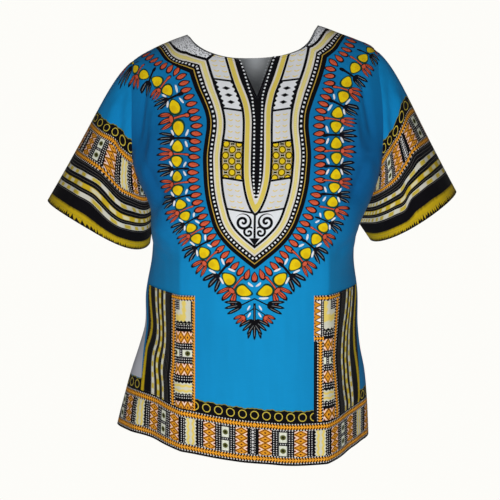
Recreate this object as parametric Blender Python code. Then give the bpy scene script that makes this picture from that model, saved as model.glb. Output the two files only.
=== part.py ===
"""A dashiki tunic, worn and empty: front, back, two short sleeves and two patch pockets.

Metres, +Z up, the front faces -Y. Left and right are the wearer's, so the left side is at +X.
The origin lies between the shoulders, level with the neck, where a wearer's shoulders carry the
tunic. Every panel is one wall of cloth. Its outer face comes from level sections of the figure,
and the wall is set inwards from that face.
"""

import math
from collections import namedtuple

import bpy
import numpy as np

MM = 0.001

# Cloth
WALL = 1.5 * MM
SEAM_GAP = 0.3 * MM
POCKET_EASE = 1.2 * MM
POCKET_MOUTH_TURN = 0.75
MITRE_LIMIT = 0.4
SMOOTH_UP_TO = math.radians(50)

# Levels, measured down from the neck
UNDERARM_Z = -335 * MM
POCKET_TOP_Z = -446 * MM
HEM_BAND = 76 * MM
SECTION_TOP_Z = 30 * MM
SECTION_FOOT_Z = -780 * MM
HEM_SHARES_Z = -653 * MM
CLOTH_COLUMNS_BELOW_Z = -440 * MM
EVEN_COLUMNS_ABOVE_Z = -375 * MM
EVEN_SIDE_SHARE = 0.9

# Shoulders
SHOULDER_SEAM_Y = 8 * MM
SHOULDER_SEAM_ABOVE_Z = -100 * MM
SHOULDER_ROUNDING = 60 * MM
SHOULDER_ROUNDING_POWER = 8
ARMHOLE_HALF_DEPTH = 70 * MM
ARMHOLE_POINT_BELOW = 0.85
ARMHOLE_POINT_ABOVE = 0.5

# Plan of a section: a rounded box whose front plane ends in a pressed crease
PLAN_POWER = 2.6
CREASE_X = 127 * MM
CREASE_DEPTH_SHARE = 0.95
CREASE_BLEND = 0.5
CREASE_FROM_Z = -330 * MM
CREASE_FULL_Z = -400 * MM
SIDE_BOW_POWER = 0.8

# Grid steps of the solids
ROWS_HEM = 3
ROWS_POCKET = 7
ROWS_WAIST = 4
ROWS_CHEST = 16
CHEST_ROWS_AT_ENDS = 0.6
RINGS_SLEEVE = 10

# Half width of the outline and depth of the body, level by level, in millimetres.
# Above the underarm the half width is that of the armhole's edge. A squarer side has a higher power.
Section = namedtuple("Section", "z right left front back side_power")
SECTIONS = [
    Section(-780, 262, 213, 152, 142, 2.4),
    Section(-735, 257, 211, 150, 140, 2.4),
    Section(-653, 237, 206, 142, 132, 2.4),
    Section(-607, 224, 201, 136, 126, 2.4),
    Section(-562, 209, 192, 130, 120, 2.4),
    Section(-528, 199, 188, 127, 114, 2.4),
    Section(-461, 195, 186, 121, 105, 2.5),
    Section(-395, 183, 178, 117, 99, 2.8),
    Section(-335, 180, 184, 118, 102, 3.6),
    Section(-300, 184, 200, 120, 105, 3.8),
    Section(-266, 197, 211, 119, 107, 4),
    Section(-230, 208, 218, 117, 108, 4),
    Section(-190, 210, 220, 109, 107, 4),
    Section(-110, 211, 218, 86, 94, 4),
    Section(-70, 213, 214, 70, 80, 4),
    Section(-35, 213, 214, 56, 64, 4),
    Section(30, 213, 214, 40, 48, 4),
]

# The ridge of the shoulders, with the line across the neck that the neckline is cut from
RidgePoint = namedtuple("RidgePoint", "x z")
SHOULDER_RIDGE = [
    RidgePoint(-212, -52),
    RidgePoint(-199, -43),
    RidgePoint(-177, -31),
    RidgePoint(-148, -18),
    RidgePoint(-117, -7),
    RidgePoint(-60, 8),
    RidgePoint(0, 14),
    RidgePoint(60, 14),
    RidgePoint(110, 9),
    RidgePoint(150, -5),
    RidgePoint(180, -16),
    RidgePoint(204, -27),
    RidgePoint(213, -35),
]

# Neckline, one row for each column of the grid from the middle to the neck point
NeckPoint = namedtuple("NeckPoint", "right_x right_z left_x left_z")
FRONT_NECKLINE = [
    NeckPoint(4, -110, 4, -110),
    NeckPoint(-10, -80, 17, -77),
    NeckPoint(-24, -50, 31, -44),
    NeckPoint(-45, -46, 50, -42),
    NeckPoint(-66, -42, 67, -38),
    NeckPoint(-86, -35, 83, -31),
    NeckPoint(-103, -24, 98, -18),
    NeckPoint(-117, -7, 110, 9),
]
BACK_NECKLINE = [
    NeckPoint(0, -50, 0, -50),
    NeckPoint(-20, -50, 18, -49),
    NeckPoint(-39, -49, 36, -47),
    NeckPoint(-57, -46, 53, -44),
    NeckPoint(-74, -41, 69, -39),
    NeckPoint(-90, -34, 84, -32),
    NeckPoint(-105, -23, 98, -18),
    NeckPoint(-117, -7, 110, 9),
]

# Columns of the grid below the waist, measured round the cloth from the middle, in millimetres.
# The pocket runs from its inner column to its outer one. The side seam follows after SIDE_COLUMNS.
CLOTH_COLUMNS = [0, 20, 40, 60, 82, 102, 115, 127, 153, 180, 207, 233]
POCKET_INNER_COLUMN = 5
POCKET_OUTER_COLUMN = 11
SIDE_COLUMNS = 2

# Hem line: height at a share of the way round, from the right side seam to the left one
HemPoint = namedtuple("HemPoint", "share front_z back_z")
HEM_LINE = [
    HemPoint(-1, -711, -711),
    HemPoint(-0.75, -707, -708),
    HemPoint(-0.4, -717, -713),
    HemPoint(0, -734, -722),
    HemPoint(0.45, -739, -729),
    HemPoint(0.8, -732, -731),
    HemPoint(1, -729, -729),
]

# Sleeves: outer and inner corner of the cuff as seen from the front, its half depth,
# and how far its rim sags towards the inner corner
Cuff = namedtuple("Cuff", "outer_x outer_z inner_x inner_z middle_y half_depth sag sag_power")
CUFFS = {
    "right": Cuff(-365, -296, -186, -374, -5, 78, 25, 2),
    "left": Cuff(356, -280, 206, -367, -5, 78, 8, 1),
}
SLEEVE_HEAD_BULGE = 8.5 * MM
SLEEVE_HEAD_AT = 0.22
SLEEVE_HEAD_POWER = 1.5

# Large folds: a line on the front or back, seen in elevation, with its half width and height
Fold = namedtuple("Fold", "face x0 z0 x1 z1 half_width height")
BODY_FOLDS = [
    Fold("front", -176, -300, -120, -190, 17, -5),
    Fold("front", -150, -235, -170, -410, 22, 5),
    Fold("front", 182, -300, 150, -190, 16, -4),
    Fold("front", 160, -250, 168, -420, 20, 4),
    Fold("front", -168, -560, -188, -735, 20, -6),
    Fold("front", 165, -570, 176, -735, 18, -5),
    Fold("front", -60, -470, -66, -735, 34, 3),
    Fold("front", 55, -440, 62, -735, 34, 3),
    Fold("back", -130, -400, -165, -735, 24, -9),
    Fold("back", -88, -330, -100, -735, 24, 8),
    Fold("back", -30, -360, -42, -735, 26, -8),
    Fold("back", 22, -320, 28, -735, 26, 8),
    Fold("back", 78, -380, 88, -735, 24, -9),
    Fold("back", 128, -330, 146, -735, 22, 8),
]
SLEEVE_FOLDS = [
    Fold("front", -222, -120, -268, -345, 16, -6),
    Fold("front", -250, -130, -312, -330, 16, 5),
    Fold("front", -196, -330, -240, -300, 12, 5),
    Fold("front", 228, -110, 258, -335, 16, -6),
    Fold("front", 256, -130, 300, -320, 16, 5),
    Fold("back", -226, -140, -262, -350, 18, -6),
    Fold("back", -250, -120, -315, -320, 18, 5),
    Fold("back", 226, -140, 258, -335, 18, -6),
    Fold("back", 250, -120, 306, -305, 18, 5),
]
FOLD_FADE = 26 * MM
FOLD_TAIL = 0.28
FOLD_AT_HEM_Z = -700
FOLD_SIDE_FROM = 12 * MM
FOLD_SIDE_FULL = 40 * MM

# Colour of each piece of cloth, the mean of its print
CLOTH_ROUGHNESS = 0.8
CLOTH_COLOURS = {
    "front_panel": (0.01, 0.25, 0.55),
    "back_panel": (0.01, 0.24, 0.52),
    "sleeve_right": (0.36, 0.22, 0.04),
    "sleeve_left": (0.36, 0.22, 0.04),
    "pocket_right": (0.33, 0.26, 0.08),
    "pocket_left": (0.33, 0.26, 0.08),
}

SIDE_SIGN = {"right": -1, "left": 1}
FACE_SIGN = {"front": -1, "back": 1}


def smooth_curve(at, knots, values):
    """A smooth curve through the knots, as a cubic with the slope of its neighbours at each one."""
    knots = np.asarray(knots, float)
    values = np.asarray(values, float)
    slopes = np.gradient(values, knots)
    at = np.clip(at, knots[0], knots[-1])
    i = np.clip(np.searchsorted(knots, at) - 1, 0, len(knots) - 2)
    span = knots[i + 1] - knots[i]
    t = (at - knots[i]) / span
    start = values[i] * (1 + 2 * t) * (1 - t) ** 2 + slopes[i] * span * t * (1 - t) ** 2
    end = values[i + 1] * t * t * (3 - 2 * t) + slopes[i + 1] * span * t * t * (t - 1)
    return start + end


def column(table, name):
    """One named column of a table, in metres."""
    return np.array([getattr(row, name) for row in table], float) * MM


def smooth_step(low, high, at):
    t = np.clip((at - low) / (high - low), 0, 1)
    return t * t * (3 - 2 * t)


def ridge_z(x):
    return smooth_curve(x, column(SHOULDER_RIDGE, "x"), column(SHOULDER_RIDGE, "z"))


def section_value(name, z):
    return smooth_curve(z, column(SECTIONS, "z"), column(SECTIONS, name))


def side_power(z):
    knots = [row.z * MM for row in SECTIONS]
    return smooth_curve(z, knots, [row.side_power for row in SECTIONS])


def armhole_depth(side, z):
    """How far the armhole's edge lies from the shoulder seam's plane: pointed below, round at the top."""
    tip = SHOULDER_RIDGE[0 if side == "right" else -1].z * MM
    rise = np.clip((z - UNDERARM_Z) / (tip - UNDERARM_Z), 0, 1)
    pointed = ARMHOLE_POINT_BELOW + (ARMHOLE_POINT_ABOVE - ARMHOLE_POINT_BELOW) * rise
    return ARMHOLE_HALF_DEPTH * np.sin(np.pi * rise) ** pointed


def seam_plane_y(z):
    """The side seams lie in the plane y = 0, and the shoulder seams a little behind it."""
    return SHOULDER_SEAM_Y * smooth_step(UNDERARM_Z, SHOULDER_SEAM_ABOVE_Z, z)


def plan_depth(share, half_width, z):
    """Depth share of a section at a width share: a rounded box, creased below the chest."""
    rounded = (1 - share**PLAN_POWER) ** (1 / side_power(z))
    crease = CREASE_X / half_width
    inside = 1 - (1 - CREASE_DEPTH_SHARE) * (share / crease) ** 2
    outside = CREASE_DEPTH_SHARE * np.clip((1 - share) / (1 - crease), 0, 1) ** SIDE_BOW_POWER
    creased = np.where(share < crease, inside, outside)
    blend = CREASE_BLEND * smooth_step(CREASE_FROM_Z, CREASE_FULL_Z, z)
    return rounded + (creased - rounded) * blend


class HalfSections:
    """Sections of one face and side, stored so that a point is found by its share of the girth."""

    def __init__(self, face, side, levels=160, steps=97):
        self.levels = np.linspace(SECTION_FOOT_Z, SECTION_TOP_Z, levels)
        self.shares = np.linspace(0, 1, steps)
        self.width_share = np.zeros((levels, steps))
        self.depth_share = np.zeros((levels, steps))
        self.girth = np.zeros(levels)
        share = np.sin(np.linspace(0, math.pi / 2, 3 * steps))
        for i, z in enumerate(self.levels):
            half = float(section_value(side, z))
            deep = float(section_value(face, z))
            edge = float(armhole_depth(side, z))
            cut = (1 - (edge / deep) ** side_power(z)) ** (1 / PLAN_POWER)
            depth = deep * plan_depth(cut * share, half / cut, z)
            run = np.concatenate([[0], np.cumsum(np.hypot(np.diff(half * share), np.diff(depth)))])
            self.girth[i] = run[-1]
            self.width_share[i] = np.interp(self.shares, run / run[-1], share)
            deeper = (depth - depth[-1]) / (deep - depth[-1])
            self.depth_share[i] = np.interp(self.shares, run / run[-1], deeper)
        self.side = side
        self.face = face

    def half_girth(self, z):
        return np.interp(z, self.levels, self.girth)

    def plan_at(self, share, z):
        """Width share and depth share at a share of the half girth and a level."""
        row = np.clip((z - self.levels[0]) / (self.levels[1] - self.levels[0]), 0, len(self.levels) - 1)
        col = np.clip(share, 0, 1) * (len(self.shares) - 1)
        i = np.minimum(row.astype(int), len(self.levels) - 2)
        j = np.minimum(col.astype(int), len(self.shares) - 2)
        a, b = row - i, col - j

        def mixed(table):
            low = table[i, j] * (1 - b) + table[i, j + 1] * b
            high = table[i + 1, j] * (1 - b) + table[i + 1, j + 1] * b
            return low * (1 - a) + high * a

        return mixed(self.width_share), mixed(self.depth_share)

    def share_of(self, x, z):
        """The share of the half girth at which a section reaches a distance from the middle."""
        row = np.clip(np.searchsorted(self.levels, z), 1, len(self.levels) - 1)
        return np.interp(abs(x) / section_value(self.side, z), self.width_share[row], self.shares)

    def point(self, share, z):
        width_share, depth_share = self.plan_at(share, z)
        x = SIDE_SIGN[self.side] * section_value(self.side, z) * width_share
        edge = armhole_depth(self.side, z)
        depth = edge + (section_value(self.face, z) - edge) * depth_share
        rounding = SHOULDER_ROUNDING * (1 - width_share**SHOULDER_ROUNDING_POWER) + 0.01 * MM
        fall = np.clip((ridge_z(x) - z) / rounding, 0, 1)
        cap = np.sqrt(1 - (1 - fall) ** 2)
        y = seam_plane_y(z) + FACE_SIGN[self.face] * cap * depth
        return np.stack([x, y, z], axis=-1)


def neckline(face, side):
    """The panel's top edge from the middle to the shoulder's tip, as x and z."""
    table = FRONT_NECKLINE if face == "front" else BACK_NECKLINE
    x = column(table, side + "_x")
    z = column(table, side + "_z")
    tip = SHOULDER_RIDGE[0 if side == "right" else -1].x * MM
    more = len(CLOTH_COLUMNS) + SIDE_COLUMNS - len(table)
    shoulder_x = np.linspace(x[-1], tip, more + 1)[1:]
    return np.concatenate([x, shoulder_x]), np.concatenate([z, ridge_z(shoulder_x)])


def low_shares(sections, z):
    """Column shares of the half girth below the underarm: fixed widths of cloth round the pocket."""
    girth = sections.half_girth(z)
    cloth = np.array(CLOTH_COLUMNS) * MM
    last = cloth[-1]
    side = last + (girth - last) * np.arange(1, SIDE_COLUMNS + 1) / SIDE_COLUMNS
    fixed = np.concatenate([cloth, side]) / girth
    even_side = np.linspace(EVEN_SIDE_SHARE, 1, SIDE_COLUMNS + 1)[1:]
    even = np.concatenate([cloth / last * EVEN_SIDE_SHARE, even_side])
    blend = smooth_step(EVEN_COLUMNS_ABOVE_Z, CLOTH_COLUMNS_BELOW_Z, z)
    return even + (fixed - even) * blend


def hem_z(face, signed_share):
    knots = [row.share for row in HEM_LINE]
    return smooth_curve(signed_share, knots, column(HEM_LINE, face + "_z"))


def half_panel(face, side):
    """Rows of points from hem to shoulder, and in each row from the middle to the side."""
    sections = HalfSections(face, side)
    hem = hem_z(face, SIDE_SIGN[side] * low_shares(sections, HEM_SHARES_Z))
    levels = [hem + HEM_BAND * k / ROWS_HEM for k in range(ROWS_HEM)]
    band = hem + HEM_BAND
    levels += [band + (POCKET_TOP_Z - band) * k / ROWS_POCKET for k in range(ROWS_POCKET)]
    levels += [np.full(len(hem), z) for z in np.linspace(POCKET_TOP_Z, UNDERARM_Z, ROWS_WAIST + 1)]
    rows = []
    for z in levels:
        shares = np.array([low_shares(sections, level)[j] for j, level in enumerate(z)])
        rows.append(sections.point(shares, z))
    top_x, top_z = neckline(face, side)
    low = low_shares(sections, UNDERARM_Z)
    top = np.array([sections.share_of(x, z) for x, z in zip(top_x, top_z)])
    top[-1] = 1
    for k in range(1, ROWS_CHEST + 1):
        rise = k / ROWS_CHEST
        eased = (1 - math.cos(math.pi * rise)) / 2
        height = rise + (eased - rise) * CHEST_ROWS_AT_ENDS
        z = UNDERARM_Z + (top_z - UNDERARM_Z) * height
        rows.append(sections.point(low + (top - low) * height, z))
    rows[-1][:, 0] = top_x
    seam = np.arange(len(top_x)) >= len(FRONT_NECKLINE) - 1
    rows[-1][seam, 1] = seam_plane_y(top_z[seam])
    return np.array(rows)


def panel_grid(face):
    """A whole panel, its columns running from left to right as seen from outside."""
    right = half_panel(face, "right")
    left = half_panel(face, "left")
    grid = np.concatenate([right[:, :0:-1], left], axis=1)
    return grid if face == "front" else grid[:, ::-1]


def armhole_places(panels, side):
    """Face, row and column along the armhole's edge: from the tip down the front, then up the back."""
    rows, columns = panels["front"].shape[:2]
    front_column, back_column = (0, columns - 1) if side == "right" else (columns - 1, 0)
    down = [("front", rows - 1 - k, front_column) for k in range(ROWS_CHEST + 1)]
    up = [("back", rows - 1 - ROWS_CHEST + k, back_column) for k in range(1, ROWS_CHEST)]
    return down + up


def at_places(tables, places):
    return np.array([tables[face][row, col] for face, row, col in places])


def sleeve_grid(ring, side):
    """Rings from the armhole to the cuff."""
    cuff = CUFFS[side]
    outer = np.array([cuff.outer_x, cuff.middle_y, cuff.outer_z]) * MM
    inner = np.array([cuff.inner_x, cuff.middle_y, cuff.inner_z]) * MM
    middle, long_half = (outer + inner) / 2, (outer - inner) / 2
    deep_half = np.array([0, -cuff.half_depth, 0]) * MM
    steps = np.linalg.norm(np.roll(ring, -1, axis=0) - ring, axis=1)
    run = np.concatenate([[0], np.cumsum(steps)])
    bottom = run[ROWS_CHEST]
    front_turn = np.pi * run[: ROWS_CHEST + 1] / bottom
    back_turn = np.pi + np.pi * (run[ROWS_CHEST + 1 : -1] - bottom) / (run[-1] - bottom)
    turn = np.concatenate([front_turn, back_turn])
    end = middle + np.outer(np.cos(turn), long_half) + np.outer(np.sin(turn), deep_half)
    towards_inner = (1 - np.cos(turn)) / 2
    sag = cuff.sag * MM * towards_inner**cuff.sag_power * np.abs(np.sin(turn))
    down = np.array([-long_half[2], 0, long_half[0]]) * -SIDE_SIGN[side]
    end += np.outer(sag, down / np.linalg.norm(down))
    top_line = outer - ring[0]
    outwards = np.array([-top_line[2], 0, top_line[0]]) * SIDE_SIGN[side]
    outwards /= np.linalg.norm(outwards)
    rings = []
    for k in range(RINGS_SLEEVE + 1):
        t = k / RINGS_SLEEVE
        head = t / SLEEVE_HEAD_AT * math.exp(1 - t / SLEEVE_HEAD_AT) * SLEEVE_HEAD_BULGE
        lift = np.maximum(np.cos(turn), 0) ** SLEEVE_HEAD_POWER * head
        rings.append(ring * (1 - t) + end * t + np.outer(lift, outwards))
    return np.array(rings)


def unit(vectors):
    return vectors / np.linalg.norm(vectors, axis=-1, keepdims=True)


def grid_normals(grid, closed):
    """Unit normals of a grid of points. On a closed grid the last column meets the first."""
    if closed:
        wide = np.concatenate([grid[:, -1:], grid, grid[:, :1]], axis=1)
        across = wide[:, 2:] - wide[:, :-2]
    else:
        across = np.gradient(grid, axis=1)
    return unit(np.cross(across, np.gradient(grid, axis=0)))


def fold_height(grid, folds):
    """Height of the folds over each point, from its distance to the fold's line in elevation."""
    total = np.zeros(grid.shape[:2])
    seen = grid[..., [0, 2]]
    for fold in folds:
        start = np.array([fold.x0, fold.z0]) * MM
        line = np.array([fold.x1, fold.z1]) * MM - start
        along = np.clip((seen - start) @ line / (line @ line), 0, 1)
        away = np.linalg.norm(seen - start - along[..., None] * line, axis=-1)
        facing = smooth_step(FOLD_SIDE_FROM, FOLD_SIDE_FULL, FACE_SIGN[fold.face] * grid[..., 1])
        tails = smooth_step(0, FOLD_TAIL, along)
        if fold.z1 > FOLD_AT_HEM_Z:
            tails = tails * smooth_step(1, 1 - FOLD_TAIL, along)
        total += fold.height * MM * np.exp(-((away / (fold.half_width * MM)) ** 2)) * tails * facing
    return total


def edge_distance(grid, edge):
    """Distance of each point from the nearest point of an edge."""
    flat = grid.reshape(-1, 3)
    gaps = np.linalg.norm(flat[:, None] - edge[None], axis=2).min(axis=1)
    return gaps.reshape(grid.shape[:2])


def folded(grid, folds, edge, closed=False):
    """The grid with its folds raised, fading out towards a seam."""
    fade = smooth_step(0, FOLD_FADE, edge_distance(grid, edge))
    height = fold_height(grid, folds) * fade
    return grid + grid_normals(grid, closed) * height[..., None]


def inset_steps(loop, normals, distance):
    """Steps that move a closed loop inwards along its surface. The inside is on the left of the loop."""
    ahead = np.roll(loop, -1, axis=0) - loop
    left_ahead = unit(np.cross(normals, ahead))
    left_before = unit(np.cross(normals, np.roll(ahead, 1, axis=0)))
    spread = 1 + np.sum(left_ahead * left_before, axis=1, keepdims=True)
    return distance * (left_ahead + left_before) / np.maximum(spread, MITRE_LIMIT)


def panel_loop(shape):
    """Row and column of the boundary's points, anticlockwise as seen from outside."""
    rows, columns = shape
    loop = [(0, j) for j in range(columns - 1)]
    loop += [(i, columns - 1) for i in range(rows - 1)]
    loop += [(rows - 1, j) for j in range(columns - 1, 0, -1)]
    loop += [(i, 0) for i in range(rows - 1, 0, -1)]
    return np.array(loop)


def cloth_material(name):
    colour = CLOTH_COLOURS[name]
    made = bpy.data.materials.new(name + "_print")
    made.use_nodes = True
    shader = made.node_tree.nodes["Principled BSDF"]
    shader.inputs["Base Color"].default_value = (*colour, 1)
    shader.inputs["Roughness"].default_value = CLOTH_ROUGHNESS
    shader.inputs["Metallic"].default_value = 0
    made.diffuse_color = (*colour, 1)
    return made


def add_object(name, points, faces):
    mesh = bpy.data.meshes.new(name)
    mesh.from_pydata([tuple(p) for p in points], [], faces)
    mesh.materials.append(cloth_material(name))
    mesh.validate()
    mesh.update()
    mesh.shade_smooth()
    mesh.set_sharp_from_angle(angle=SMOOTH_UP_TO)
    made = bpy.data.objects.new(name, mesh)
    bpy.context.scene.collection.objects.link(made)
    return made


def sheet_faces(outer, closed):
    """Triangles of the outer face, the inner face and the rims. Cells are cut on the shorter diagonal."""
    rows, columns = outer.shape[:2]
    inner = rows * columns
    faces = []
    for i in range(rows - 1):
        for j in range(columns if closed else columns - 1):
            k = (j + 1) % columns
            a, b = i * columns + j, i * columns + k
            c, d = b + columns, a + columns
            rising = np.linalg.norm(outer[i + 1, k] - outer[i, j])
            falling = np.linalg.norm(outer[i + 1, j] - outer[i, k])
            cell = [(a, b, c), (a, c, d)] if rising < falling else [(a, b, d), (b, c, d)]
            faces += cell + [(inner + r, inner + q, inner + p) for p, q, r in cell]
    if closed:
        loops = [list(range(columns)), list(range(rows * columns - 1, (rows - 1) * columns - 1, -1))]
    else:
        loops = [[i * columns + j for i, j in panel_loop((rows, columns))]]
    for loop in loops:
        for a, b in zip(loop, loop[1:] + loop[:1]):
            faces += [(a, inner + a, inner + b), (a, inner + b, b)]
    return faces


def cloth_solid(name, outer, normals, closed=False):
    """A wall of cloth between an outer grid of points and the same grid set inwards."""
    inside = outer - normals * WALL
    points = np.concatenate([outer.reshape(-1, 3), inside.reshape(-1, 3)])
    return add_object(name, points, sheet_faces(outer, closed))


def join_side_and_shoulder_normals(normals):
    """Front and back get one normal where they meet, so that their edges stay parallel."""
    front, back = normals["front"], normals["back"][:, ::-1]
    rows, columns = front.shape[:2]
    neck = len(FRONT_NECKLINE) - 1
    shoulder = [j for j in range(columns) if abs(j - columns // 2) >= neck]
    seam = [(i, j) for i in range(rows - ROWS_CHEST) for j in (0, columns - 1)]
    seam += [(rows - 1, j) for j in shoulder]
    for place in seam:
        front[place] = back[place] = unit(front[place] + back[place])


def armhole_normals(ring, panel_normals, sleeve_normals, side):
    """One normal for both walls round an armhole. Under the arm, where they fold back, it points down."""
    tangent = unit(np.roll(ring, -1, axis=0) - np.roll(ring, 1, axis=0))
    into_panel = -SIDE_SIGN[side] * np.cross(panel_normals, tangent)
    into_sleeve = SIDE_SIGN[side] * np.cross(sleeve_normals, tangent)
    groove = np.sign(np.sum(panel_normals * into_sleeve, axis=1, keepdims=True))
    return unit(panel_normals + sleeve_normals + groove * (into_panel + into_sleeve))


def inset_panel(grid, normals):
    loop = panel_loop(grid.shape[:2])
    steps = inset_steps(grid[loop[:, 0], loop[:, 1]], normals[loop[:, 0], loop[:, 1]], SEAM_GAP / 2)
    moved = grid.copy()
    moved[loop[:, 0], loop[:, 1]] += steps
    return moved


def inset_sleeve(grid, normals):
    """The sleeve's last row is its armhole edge, whose loop runs with the cloth on its right."""
    moved = grid.copy()
    moved[-1] -= inset_steps(grid[-1], normals[-1], SEAM_GAP / 2)
    return moved


def pocket_solid(name, front, normals, side):
    """A patch pocket, made from the front panel's own points moved out, slightly full in its middle."""
    middle = front.shape[1] // 2
    ends = sorted(middle + SIDE_SIGN[side] * c for c in (POCKET_INNER_COLUMN, POCKET_OUTER_COLUMN))
    under = slice(ROWS_HEM, ROWS_HEM + ROWS_POCKET + 1), slice(ends[0], ends[1] + 1)
    seat, out = front[under], normals[under]
    across = np.sin(np.linspace(0, math.pi, seat.shape[1]))
    up = np.sin(np.linspace(0, math.pi * POCKET_MOUTH_TURN, seat.shape[0]))
    ease = SEAM_GAP + POCKET_EASE * np.outer(up, across)
    return cloth_solid(name, seat + out * (ease + WALL)[..., None], out)


def build():
    for old in list(bpy.data.objects):
        bpy.data.objects.remove(old)

    panels = {face: panel_grid(face) for face in FACE_SIGN}
    places = {side: armhole_places(panels, side) for side in CUFFS}
    rings = {side: at_places(panels, places[side]) for side in CUFFS}
    sleeves = {}
    for side, ring in rings.items():
        grid = sleeve_grid(ring, side)[::-1]
        grid = grid if side == "right" else grid[:, ::-1]
        sleeves[side] = folded(grid, SLEEVE_FOLDS, ring, closed=True)
    armholes = np.concatenate(list(rings.values()))
    panels = {face: folded(grid, BODY_FOLDS, armholes) for face, grid in panels.items()}

    normals = {face: grid_normals(grid, False) for face, grid in panels.items()}
    join_side_and_shoulder_normals(normals)
    sleeve_normals = {side: grid_normals(grid, True) for side, grid in sleeves.items()}
    tip_row = panels["front"].shape[0] - 1
    last_column = panels["front"].shape[1] - 1
    for side, ring in rings.items():
        order = slice(None) if side == "right" else slice(None, None, -1)
        edge = sleeve_normals[side][-1, order]
        edge[:] = armhole_normals(ring, at_places(normals, places[side]), edge, side)
        for (face, row, col), normal in zip(places[side], edge):
            normals[face][row, col] = normal
            if row in (tip_row, tip_row - ROWS_CHEST):
                normals["back"][row, last_column - col] = normal

    for face, grid in panels.items():
        cloth_solid(face + "_panel", inset_panel(grid, normals[face]), normals[face])
    for side, grid in sleeves.items():
        moved = inset_sleeve(grid, sleeve_normals[side])
        cloth_solid("sleeve_" + side, moved, sleeve_normals[side], closed=True)
        pocket_solid("pocket_" + side, panels["front"], normals["front"], side)


build()
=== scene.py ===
import math
from collections import namedtuple

import bpy
import numpy as np
from mathutils import Matrix, Vector


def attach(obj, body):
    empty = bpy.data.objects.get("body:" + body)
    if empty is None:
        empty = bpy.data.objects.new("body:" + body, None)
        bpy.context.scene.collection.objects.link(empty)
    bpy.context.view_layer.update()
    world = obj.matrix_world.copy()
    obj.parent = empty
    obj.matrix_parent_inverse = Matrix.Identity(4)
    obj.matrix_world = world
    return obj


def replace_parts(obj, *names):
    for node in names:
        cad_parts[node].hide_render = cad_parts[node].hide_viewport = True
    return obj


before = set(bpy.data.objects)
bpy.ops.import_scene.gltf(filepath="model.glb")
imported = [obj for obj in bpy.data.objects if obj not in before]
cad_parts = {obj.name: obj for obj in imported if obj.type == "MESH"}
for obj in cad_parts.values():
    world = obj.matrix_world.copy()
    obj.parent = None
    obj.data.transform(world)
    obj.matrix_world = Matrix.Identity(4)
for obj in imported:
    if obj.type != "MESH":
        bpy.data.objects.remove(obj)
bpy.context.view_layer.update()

mm = 0.001
sideSign = {"right": -1, "left": 1}  # the wearer's sides
faceSign = {"front": -1, "back": 1}

# The worn form, as the solids have it. Levels are measured down from the neck.
body = {
    "underarm": -335 * mm,
    "pocketTop": -446 * mm,
    "hemBand": 76 * mm,
    "sectionTop": 30 * mm,
    "sectionFoot": -780 * mm,
    "hemShares": -653 * mm,
    "clothColumnsBelow": -440 * mm,
    "evenColumnsAbove": -375 * mm,
    "evenSide": 0.9,
    "shoulderSeamY": 8 * mm,
    "shoulderSeamAbove": -100 * mm,
    "shoulderRounding": 60 * mm,
    "armholeHalfDepth": 70 * mm,
    "armholePointBelow": 0.85,
    "armholePointAbove": 0.5,
    "planPower": 2.6,
    "creaseX": 127 * mm,
    "creaseDepth": 0.95,
    "creaseBlend": 0.72,  # sharper than on the solids, as pressed in the packet
    "seamGap": 0.08 * mm,
    "seamDip": 0.9 * mm,
    "seamDipWidth": 3.2 * mm,
    "clothThickness": 0.8 * mm,
    "hemThickness": 1.4 * mm,
    "foldFade": 26 * mm,
    "lengthFrom": -150 * mm,  # above this level, print lengths run over the shoulder
}
rows = {"hem": 18, "pocket": 49, "waist": 28, "chest": 80}
columnSteps = [5, 5, 5, 6, 5, 3, 3, 7, 7, 7, 7, 8, 8]
clothColumns = [0, 20, 40, 60, 82, 102, 115, 127, 153, 180, 207, 233]  # mm round the cloth
sideColumns = 2


def tableOf(kind, rows):
    return [kind(*row) for row in rows]


section = namedtuple("section", "z right left front back sidePower")
sections = tableOf(section, [
    (-780, 262, 213, 152, 142, 2.4),
    (-735, 257, 211, 150, 140, 2.4),
    (-653, 237, 206, 142, 132, 2.4),
    (-607, 224, 201, 136, 126, 2.4),
    (-562, 209, 192, 130, 120, 2.4),
    (-528, 199, 188, 127, 114, 2.4),
    (-461, 195, 186, 121, 105, 2.5),
    (-395, 183, 178, 117, 99, 2.8),
    (-335, 180, 184, 118, 102, 3.6),
    (-300, 184, 200, 120, 105, 3.8),
    (-266, 197, 211, 119, 107, 4),
    (-230, 208, 218, 117, 108, 4),
    (-190, 210, 220, 109, 107, 4),
    (-110, 211, 218, 86, 94, 4),
    (-70, 213, 214, 70, 80, 4),
    (-35, 213, 214, 56, 64, 4),
    (30, 213, 214, 40, 48, 4),
])
ridgePoint = namedtuple("ridgePoint", "x z")
shoulderRidge = tableOf(ridgePoint, [
    (-212, -52), (-199, -43), (-177, -31), (-148, -18), (-117, -7), (-60, 8), (0, 14), (60, 14),
    (110, 9), (150, -5), (180, -16), (204, -27), (213, -35),
])
neckPoint = namedtuple("neckPoint", "rightX rightZ leftX leftZ")
frontNeckline = tableOf(neckPoint, [
    (4, -110, 4, -110), (-10, -80, 17, -77), (-24, -50, 31, -44), (-45, -46, 50, -42),
    (-66, -42, 67, -38), (-86, -35, 83, -31), (-103, -24, 98, -18), (-117, -7, 110, 9),
])
backNeckline = tableOf(neckPoint, [
    (0, -50, 0, -50), (-20, -50, 18, -49), (-39, -49, 36, -47), (-57, -46, 53, -44), (-74, -41, 69, -39),
    (-90, -34, 84, -32), (-105, -23, 98, -18), (-117, -7, 110, 9),
])
hemPoint = namedtuple("hemPoint", "share front back")
hemLine = tableOf(hemPoint, [
    (-1, -711, -711), (-0.75, -707, -708), (-0.4, -717, -713), (0, -734, -722), (0.45, -739, -729),
    (0.8, -732, -731), (1, -729, -729),
])
cuff = namedtuple("cuff", "outerX outerZ innerX innerZ middleY halfDepth sag sagPower")
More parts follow.
